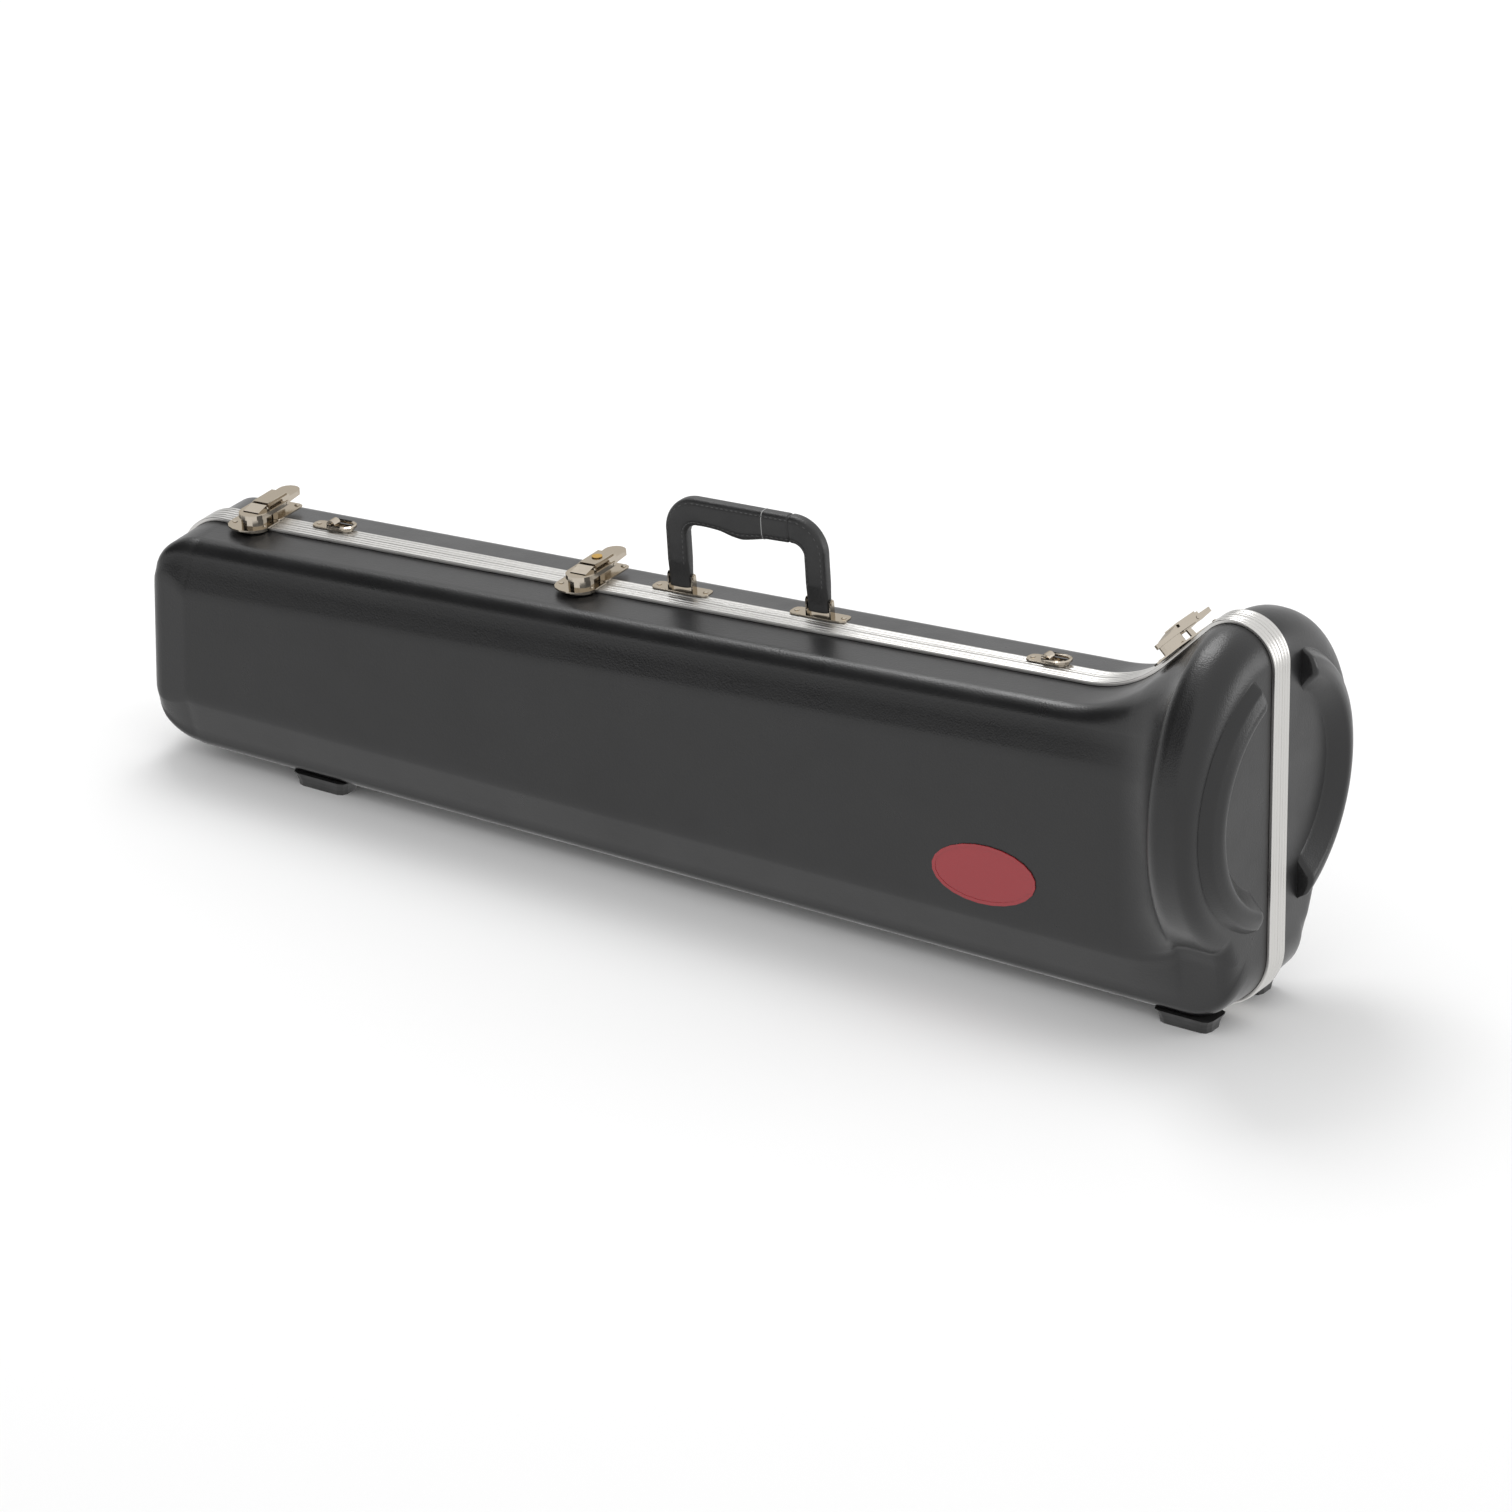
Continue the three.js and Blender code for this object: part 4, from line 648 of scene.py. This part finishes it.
# %% [markdown]
# The stitches lie in the furrows, one every four millimetres or so: small beads set along the path, which
# look like pulled thread at this size. The cover's join shows as one fine pale line across the grip, a thin
# ring that stands a little proud of the skin.

# %% Stitches and join
STITCH_STEP, STITCH_MARGIN, STITCH_SIZE = 4.2, 20.0, (1.35, 0.35, 0.45)
BEAD_AROUND, BEAD_ALONG = 8, 5
JOIN_AT, JOIN_NEAR, JOIN_WIDTH, JOIN_PROUD = 16.5, 0.5, 0.7, 0.12


def beads(centres, along, side, sizes):
    """Points and faces of many small ellipsoids at once, each with its own long direction."""
    third = np.cross(along, side)
    around = np.linspace(0, 2 * math.pi, BEAD_AROUND, endpoint=False)[None, :]
    over = np.linspace(0, math.pi, BEAD_ALONG)[:, None]
    ball = np.stack([np.cos(over) + 0 * around, np.sin(over) * np.cos(around),
                     np.sin(over) * np.sin(around)], -1).reshape(-1, 3) * np.array(sizes)
    points = centres[:, None] + (ball[None, :, 0:1] * along[:, None] + ball[None, :, 1:2] * side[:, None]
                                 + ball[None, :, 2:3] * third[:, None])
    faces = grid_faces(BEAD_ALONG, BEAD_AROUND, False, True)
    faces = faces[None] + (np.arange(len(centres)) * len(ball))[:, None, None]
    return points.reshape(-1, 3), faces.reshape(-1, 4)


travelled = distances(path[:, :2])
at = walked(path, travelled, np.arange(STITCH_MARGIN, travelled[-1] - STITCH_MARGIN, STITCH_STEP))
run = np.sin(at[:, 2:3]) * seam_direction + np.cos(at[:, 2:3]) * seam_outward
centres, sides = [], []
for edge in (-1, 1):
    for face in (-1, 1):
        share = FURROW_SHARE ** (1 / SQUARENESS) * edge
        place = np.array([[math.atan2(face * math.sqrt(1 - share * share), share)]])
        centres.append(handle_points(at, place)[:, 0])
        sides.append(np.repeat([[0.0, face, 0.0]], len(at), 0))
points, faces = beads(np.concatenate(centres), np.tile(run, (4, 1)), np.concatenate(sides), STITCH_SIZE)
stitches = piece("handle_stitches", row_frame(points), faces)
line = path[np.abs(path[:, 0] - JOIN_AT) < JOIN_NEAR][:1] + np.array([[0, 0, 0, 0], [JOIN_WIDTH, 0, 0, 0]])
band = np.concatenate([handle_points(line, angle), handle_points(line, angle, JOIN_PROUD)[::-1]])
join = piece("handle_join", row_frame(band), grid_faces(len(band), ROUND_STEPS, True, True))
for obj in (stitches, join):
    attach(obj, "handle")
    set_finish(obj, "handle_leather")
    print(obj.name, len(obj.data.polygons), "faces")

# %% [markdown]
# ## The plush liners
# Inside, each half is filled with foam under black plush. Its face is flat at the seam and falls into the
# wells for the instrument: a pocket, the bow's well and two channels in the body, the hand slide's channel
# in the lid, and in both the round funnel and slot of the bell. Every well is a depth over the face, with a
# steep smooth step at its edge, `depth = d * S(x) * S(z)`, or for the round ones the height of a circle
# over the parting plane, `depth = sqrt(r(x)^2 - (z - axis)^2)`. The deepest well counts, and none comes
# nearer to the shell than the plush is thick. It is one skin over all of it, as the plush is.

# %% Liners
FACE_BODY, FACE_LID, PLUSH, SOFT, CLEAR, MARGIN = 3.4, 6.4, 2.6, 3.2, 1.5, 2.0
BODY_WELLS = ((70, 310, 40, 140, 42), (340, 470, 42, 182, 34),
              (455, 705, 168, 192, 12), (455, 640, 42, 66, 24))
LID_WELLS = ((60, 866, 30, 128, 36),)
FUNNEL_X = (698, 704, 730, 760, 790, 830, 860, 880, 887, 907, 913)
FUNNEL_RADIUS = (0, 17, 18, 20, 25, 37, 49, 58, 92, 92, 0)
FUNNEL_EDGES = [701, 883, 910]
LINER_X, LINER_Z = (6, 929, 3.0), (12, 304, 2.0)
NEAR_LEVELS, LEAST_STEP = 0.7 * np.arange(-4, 5), 0.3
PROFILE_T = np.linspace(1.2, 14.8, 220)


def smooth_step(value):
    """0 below 0, 1 above 1, and a smooth S, s^2 (3 - 2 s), between them."""
    s = np.clip(value, 0, 1)
    return s * s * (3 - 2 * s)


def well(x, z, left, right, low, high, depth):
    """Depth of one sunk well with soft edges."""
    for inside in (x - left, right - x, z - low, high - z):
        depth = depth * smooth_step(inside / SOFT + 0.5)
    return depth


def shell_depth(x, z):
    """How deep the moulded shell is at each row's x and each point's height."""
    section = half_section(x, PROFILE_T)
    return np.stack([np.interp(-zs, -row[:, 2], row[:, 1]) for row, zs in zip(section, z)])


def close_levels(first, last, step, edges):
    """Numbers from first to last in even steps, and closer ones where a well has its edge."""
    near = [edge + NEAR_LEVELS for edge in edges]
    every = np.unique(np.concatenate([np.arange(first, last, step), [last], *near]).round(2))
    return every[np.concatenate([[True], np.diff(every) > LEAST_STEP])]


def liner(name, wells, front, side):
    """A plush skin over the face and its wells, held inside the parting outline."""
    x = close_levels(*LINER_X, [edge for w in wells for edge in w[:2]] + FUNNEL_EDGES)
    z = close_levels(*LINER_Z, [edge for w in wells for edge in w[2:4]])
    low, high = bottom_at(x) + WALL + MARGIN, top_at(x) - WALL - MARGIN
    z = np.clip(z[None, :], low[:, None], high[:, None])
    x_grid = np.repeat(x[:, None], z.shape[1], 1)
    radius = np.interp(x, FUNNEL_X, FUNNEL_RADIUS)[:, None]
    depth = np.sqrt(np.maximum(radius ** 2 - (z - BELL_MIDDLE) ** 2, 0)) - front
    for values in wells:
        depth = np.maximum(depth, well(x_grid, z, *values))
    room = np.maximum(shell_depth(x, z) - WALL - PLUSH - CLEAR - front, 0)
    depth = np.clip(depth, 0, room)
    obj = piece(name, row_frame(np.stack([x_grid, (front + depth) * side, z], -1)), grid_faces(*z.shape))
    look_along(obj, (0, -side, 0))
    thicken(obj, "plush", PLUSH)
    return obj


for name, wells, front, side, body, stem in (
        ("body_liner", BODY_WELLS, FACE_BODY, 1, "body", "back_liner_"),
        ("lid_liner", LID_WELLS, FACE_LID, -1, "lid", "front_liner_")):
    obj = liner(name, wells, front, side)
    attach(obj, body)
    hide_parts(*[block for block in nodes if block.startswith(stem)])
    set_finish(obj, "liner_plush")
    print(name, len(obj.data.polygons), "faces")

# %% [markdown]
# ## Finishes
# Each finish is one procedural material on Object coordinates, in metres, so its grain has its real size
# and stays put when the piece moves. The effects that several of them share are node groups: a value that
# drifts over the surface, a pebble grain, and the fine lines of drawn metal.

# %% Node helpers


def new_material(name):
    """An empty node material with its shader."""
    material = bpy.data.materials.new(name)
    material.use_nodes = True
    tree = material.node_tree
    tree.nodes.clear()
    output = tree.nodes.new("ShaderNodeOutputMaterial")
    shader = tree.nodes.new("ShaderNodeBsdfPrincipled")
    tree.links.new(shader.outputs["BSDF"], output.inputs["Surface"])
    return material, tree, shader


def coordinates(tree):
    """The Object coordinates, in metres."""
    return tree.nodes.new("ShaderNodeTexCoord").outputs["Object"]


def node(tree, kind, **values):
    """A node with its settings, and with input values by socket name, where _ may stand for a space."""
    made = tree.nodes.new(kind)
    for key, value in values.items():
        if hasattr(made, key) and key not in made.inputs.keys():
            setattr(made, key, value)
        else:
            made.inputs[key if key in made.inputs.keys() else key.replace("_", " ")].default_value = value
    return made


def link(tree, *pairs):
    """Links, each from an output to an input."""
    for start, end in pairs:
        tree.links.new(start, end)


def shade(*colour):
    """A colour written as three linear numbers, with full cover."""
    return (*colour, 1.0)


def new_group(name, inputs, output, kind):
    """An empty node group, fed a Vector and named floats, with one output: the tree and its sockets."""
    tree = bpy.data.node_groups.new(name, "ShaderNodeTree")
    tree.interface.new_socket("Vector", in_out="INPUT", socket_type="NodeSocketVector")
    for socket, value in inputs.items():
        tree.interface.new_socket(socket, in_out="INPUT", socket_type="NodeSocketFloat").default_value = value
    tree.interface.new_socket(output, in_out="OUTPUT", socket_type=kind)
    return tree, tree.nodes.new("NodeGroupInput").outputs, tree.nodes.new("NodeGroupOutput").inputs[output]


def use(tree, group, place, **values):
    """A group in a material or in another group, fed with the coordinates; its output is returned."""
    made = tree.nodes.new("ShaderNodeGroup")
    made.node_tree = group
    tree.links.new(place, made.inputs["Vector"])
    for key, value in values.items():
        made.inputs[key].default_value = value
    return made.outputs[0]


# %% [markdown]
# A drifting value is a cloud of noise, spread to a low and a high end. It keeps a gloss or a colour from
# being the same all over, as no real surface is.

# %% Drifting value
CLOUD = {"Detail": 5.0, "Roughness": 0.6}
CLOUD_LOW, CLOUD_HIGH = 0.32, 0.68
drift_tree, given, result = new_group("drifting_value", {"Scale": 20, "Low": 0, "High": 1}, "Value",
                                      "NodeSocketFloat")
cloud = node(drift_tree, "ShaderNodeTexNoise", **CLOUD)
spread = node(drift_tree, "ShaderNodeMapRange", From_Min=CLOUD_LOW, From_Max=CLOUD_HIGH)
link(drift_tree, (given["Vector"], cloud.inputs["Vector"]), (given["Scale"], cloud.inputs["Scale"]),
     (cloud.outputs["Fac"], spread.inputs["Value"]), (given["Low"], spread.inputs["To Min"]),
     (given["High"], spread.inputs["To Max"]), (spread.outputs["Result"], result))

# %% [markdown]
# A pebble grain is the mark of an etched mould or of pressed hide: rounded cells with narrow valleys
# between them, `height = smooth distance to the nearest cell`, mixed with a slower noise that makes them
# uneven. Only the normal is bent, as the grain is just a few tenths of a millimetre deep.

# %% Pebble grain
UNEVEN_SCALE = 0.35
pebble_tree, given, result = new_group("pebble_grain", {"Scale": 800, "Unevenness": 0.3, "Depth": 0.0001,
                                                         "Strength": 1}, "Normal", "NodeSocketVector")
cells = node(pebble_tree, "ShaderNodeTexVoronoi", feature="SMOOTH_F1", Smoothness=0.5)
slower = node(pebble_tree, "ShaderNodeMath", operation="MULTIPLY")
slower.inputs[1].default_value = UNEVEN_SCALE
uneven = node(pebble_tree, "ShaderNodeTexNoise", Detail=3.0)
blend = node(pebble_tree, "ShaderNodeMix", data_type="FLOAT")
bump = node(pebble_tree, "ShaderNodeBump", invert=True)
link(pebble_tree, (given["Vector"], cells.inputs["Vector"]), (given["Vector"], uneven.inputs["Vector"]),
     (given["Scale"], cells.inputs["Scale"]), (given["Scale"], slower.inputs[0]),
     (slower.outputs[0], uneven.inputs["Scale"]), (given["Unevenness"], blend.inputs[0]),
     (cells.outputs["Distance"], blend.inputs[2]), (uneven.outputs["Fac"], blend.inputs[3]),
     (blend.outputs[0], bump.inputs["Height"]), (given["Depth"], bump.inputs["Distance"]),
     (given["Strength"], bump.inputs["Strength"]), (bump.outputs["Normal"], result))

# %% [markdown]
# Drawn metal carries fine lines along its length. The valances run round the seam, so across them is
# simply +Y: coordinates squeezed along Y and stretched along X and Z make the drift follow the seam.

# %% Drawn lines
drawn_tree, given, result = new_group("drawn_lines", {"Squeeze": 220, "Stretch": 6, "Low": 0, "High": 1},
                                      "Value", "NodeSocketFloat")
factors = node(drawn_tree, "ShaderNodeCombineXYZ")
squeezed = node(drawn_tree, "ShaderNodeVectorMath", operation="MULTIPLY")
lines = use(drawn_tree, drift_tree, squeezed.outputs["Vector"], Scale=1)
link(drawn_tree, (given["Stretch"], factors.inputs["X"]), (given["Squeeze"], factors.inputs["Y"]),
     (given["Stretch"], factors.inputs["Z"]), (given["Vector"], squeezed.inputs[0]),
     (factors.outputs["Vector"], squeezed.inputs[1]), (given["Low"], lines.node.inputs["Low"]),
     (given["High"], lines.node.inputs["High"]), (lines, result))
print("groups", [group.name for group in bpy.data.node_groups])

# %% [markdown]
# The case's plastic is nearly black: almost all that is seen of it is the white room in its semi-gloss
# skin, which is why its gloss and its grain matter more than its colour. Each finish is a call with its
# colour, the two ends of its gloss, how fast the gloss drifts, and its grain.

# %% Materials


def grained(name, colour, gloss, drift_scale, grain, sheen=0.0, specular=0.5, coat=0.0):
    """A dielectric finish: a colour, a gloss that drifts between two values, and a pebble grain."""
    material, tree, shader = new_material(name)
    place = coordinates(tree)
    shader.inputs["Base Color"].default_value = shade(*colour)
    shader.inputs["Specular IOR Level"].default_value = specular
    shader.inputs["Sheen Weight"].default_value = sheen
    shader.inputs["Coat Weight"].default_value = coat
    scale, unevenness, depth, strength = grain
    link(tree, (use(tree, drift_tree, place, Scale=drift_scale, Low=gloss[0], High=gloss[1]),
                shader.inputs["Roughness"]),
         (use(tree, pebble_tree, place, Scale=scale, Unevenness=unevenness, Depth=depth, Strength=strength),
          shader.inputs["Normal"]))
    return material


def metal(name, colour, gloss, edge, drift_scale=None):
    """A metal whose gloss drifts between two values, along drawn lines without a scale, and its edge tint."""
    material, tree, shader = new_material(name)
    shader.inputs["Base Color"].default_value = shade(*colour)
    shader.inputs["Specular Tint"].default_value = shade(*edge)
    shader.inputs["Metallic"].default_value = 1.0
    group, scales = (drift_tree, {"Scale": drift_scale}) if drift_scale else (drawn_tree, {})
    link(tree, (use(tree, group, coordinates(tree), Low=gloss[0], High=gloss[1], **scales),
                shader.inputs["Roughness"]))
    return material


finishes = {
    "shell_plastic": grained("pebbled_black_plastic", (0.011, 0.011, 0.0115), (0.27, 0.38), 24,
                             (780, 0.3, 0.00022, 0.55)),
    "valance_aluminium": metal("drawn_aluminium", (0.64, 0.63, 0.61), (0.26, 0.36), (0.8, 0.8, 0.8)),
    "hardware_nickel": metal("warm_nickel", (0.54, 0.485, 0.41), (0.09, 0.2), (0.5, 0.47, 0.42), 140),
    "lock_brass": metal("worn_brass", (0.6, 0.4, 0.16), (0.2, 0.35), (0.7, 0.6, 0.4), 160),
    "liner_plush": grained("black_plush", (0.03, 0.03, 0.034), (0.9, 1.0), 60, (1500, 0.7, 0.0009, 0.8),
                           sheen=0.5, specular=0.1),
    "badge_plastic": grained("red_badge", (0.3, 0.011, 0.018), (0.16, 0.24), 40, (90, 1.0, 0.00004, 0.3),
                             coat=0.4),
    "foot_rubber": grained("black_rubber", (0.016, 0.016, 0.016), (0.5, 0.65), 90, (1300, 0.6, 0.0001, 0.5)),
    "handle_leather": grained("grained_cover", (0.015, 0.015, 0.0155), (0.38, 0.5), 60,
                              (950, 0.4, 0.0003, 0.7)),
}
stitch_thread = grained("grey_thread", (0.07, 0.07, 0.07), (0.6, 0.8), 300, (2500, 0.5, 0.0001, 0.5))
pale_join = grained("pale_join", (0.3, 0.3, 0.3), (0.4, 0.6), 300, (2500, 0.5, 0.0001, 0.2))

# %% [markdown]
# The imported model's record names a finish for each of its nodes, and each new piece has been told its own.
# The thread and the join lie on the leather cover and have a look of their own.

# %% Give every piece its finish


def finish(obj, material):
    """One material for the whole piece, in place of any other."""
    obj.data.materials.clear()
    obj.data.materials.append(material)


for entry in frame["record"]["subparts"]:
    finish(nodes[entry["node"]], finishes[entry["material_slot"]])
for obj in bpy.data.objects:
    if obj.type == "MESH" and "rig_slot" in obj:
        finish(obj, finishes[obj["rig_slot"]])
finish(stitches, stitch_thread)
finish(join, pale_join)
print("materials", [material.name for material in bpy.data.materials])

# %% [markdown]
# ## Floor and light
# The photograph is a studio shot on white: white all round, one broad soft light above and a little
# behind, a second far to the right and low, and a dark card high over the front left, which is what darkens
# the upper bevel. The world shows white to the camera and in reflections, and lights the object at a
# plainer level. The floor keeps the shadow, and reflections see it white.

# %% Studio
WHITE, FLOOR_SHADE, CARD_SHADE = shade(1, 1, 1), shade(0.86, 0.86, 0.86), shade(0.01, 0.01, 0.01)
WORLD_LIGHT, FLOOR_REACH, FLOOR_ROUGHNESS, FLOOR_SHINE = 0.95, 30, 0.9, 0.1
CARD_EDGES, CARD_TARGET = (-1.9, -1.5, 1.6, 0.6), (-0.25, 0, 0.15)
CARD_START, CARD_DIRECTION, CARD_DISTANCE = Vector((-0.35, 0, 0.15)), Vector((-0.485, -0.43, 0.76)), 2.2


def white_in_reflections(tree, surface, output, camera):
    """Adds plain white where a reflection, or also the camera, looks at the surface."""
    light_path = tree.nodes.new("ShaderNodeLightPath")
    kinds = ["Is Glossy Ray", "Is Transmission Ray"] + (["Is Camera Ray"] if camera else [])
    seen = light_path.outputs[kinds[0]]
    for kind in kinds[1:]:
        either = node(tree, "ShaderNodeMath", operation="MAXIMUM")
        link(tree, (seen, either.inputs[0]), (light_path.outputs[kind], either.inputs[1]))
        seen = either.outputs[0]
    white = node(tree, "ShaderNodeBackground" if camera else "ShaderNodeEmission", Color=WHITE, Strength=1.0)
    mix = tree.nodes.new("ShaderNodeMixShader")
    link(tree, (seen, mix.inputs[0]), (surface, mix.inputs[1]), (white.outputs[0], mix.inputs[2]),
         (mix.outputs[0], output))


def rectangle(left, low, right, high):
    """The corners of a level rectangle, anticlockwise."""
    return [(left, low, 0), (right, low, 0), (right, high, 0), (left, high, 0)]


def stage_plane(name, corners, colour, specular):
    """A flat piece of the studio, with a plain material of the same name."""
    mesh = bpy.data.meshes.new(name)
    mesh.from_pydata(corners, [], [(0, 1, 2, 3)])
    obj = bpy.data.objects.new(name, mesh)
    bpy.context.collection.objects.link(obj)
    material, tree, shader = new_material(name)
    shader.inputs["Base Color"].default_value = colour
    shader.inputs["Specular IOR Level"].default_value = specular
    mesh.materials.append(material)
    return obj, tree, shader


def facing(place, target):
    """The turn that points a lamp or a card from its place to the target."""
    return (Vector(target) - Vector(place)).to_track_quat("-Z", "Y").to_euler()


def softbox(name, place, target, size, power):
    """A square area lamp of that size in metres and power in watts, turned to face the target."""
    lamp = bpy.data.lights.new(name, "AREA")
    lamp.shape = "SQUARE"
    lamp.size = size
    lamp.energy = power
    obj = bpy.data.objects.new(name, lamp)
    bpy.context.collection.objects.link(obj)
    obj.location = place
    obj.rotation_euler = facing(place, target)


floor, tree, shader = stage_plane("floor", rectangle(-FLOOR_REACH, -FLOOR_REACH, FLOOR_REACH, FLOOR_REACH),
                                  FLOOR_SHADE, FLOOR_SHINE)
shader.inputs["Roughness"].default_value = FLOOR_ROUGHNESS
surface_input = tree.nodes["Material Output"].inputs["Surface"]
white_in_reflections(tree, shader.outputs["BSDF"], surface_input, camera=False)

world = bpy.data.worlds.new("studio")
bpy.context.scene.world = world
world.use_nodes = True
tree = world.node_tree
tree.nodes.clear()
lit = node(tree, "ShaderNodeBackground", Color=WHITE, Strength=WORLD_LIGHT)
world_output = tree.nodes.new("ShaderNodeOutputWorld")
white_in_reflections(tree, lit.outputs[0], world_output.inputs["Surface"], camera=True)

softbox("top_light", place=(-0.8, 0.75, 2.3), target=(0, 0, 0.15), size=1.1, power=24)
softbox("right_light", place=(2.7, 1.7, 0.65), target=(0.4, 0, 0.15), size=1.6, power=20)
card_place = CARD_START + CARD_DIRECTION * CARD_DISTANCE
turn = facing(card_place, CARD_TARGET).to_matrix()
corners = [tuple(card_place + turn @ Vector(corner)) for corner in rectangle(*CARD_EDGES)]
card, _, _ = stage_plane("dark_card", corners, CARD_SHADE, 0.0)
card.visible_camera = False
card.visible_shadow = False
card.visible_diffuse = False
bpy.context.scene.view_settings.view_transform = "Standard"
print("stage:", floor.name, card.name, [lamp.name for lamp in bpy.data.lights])
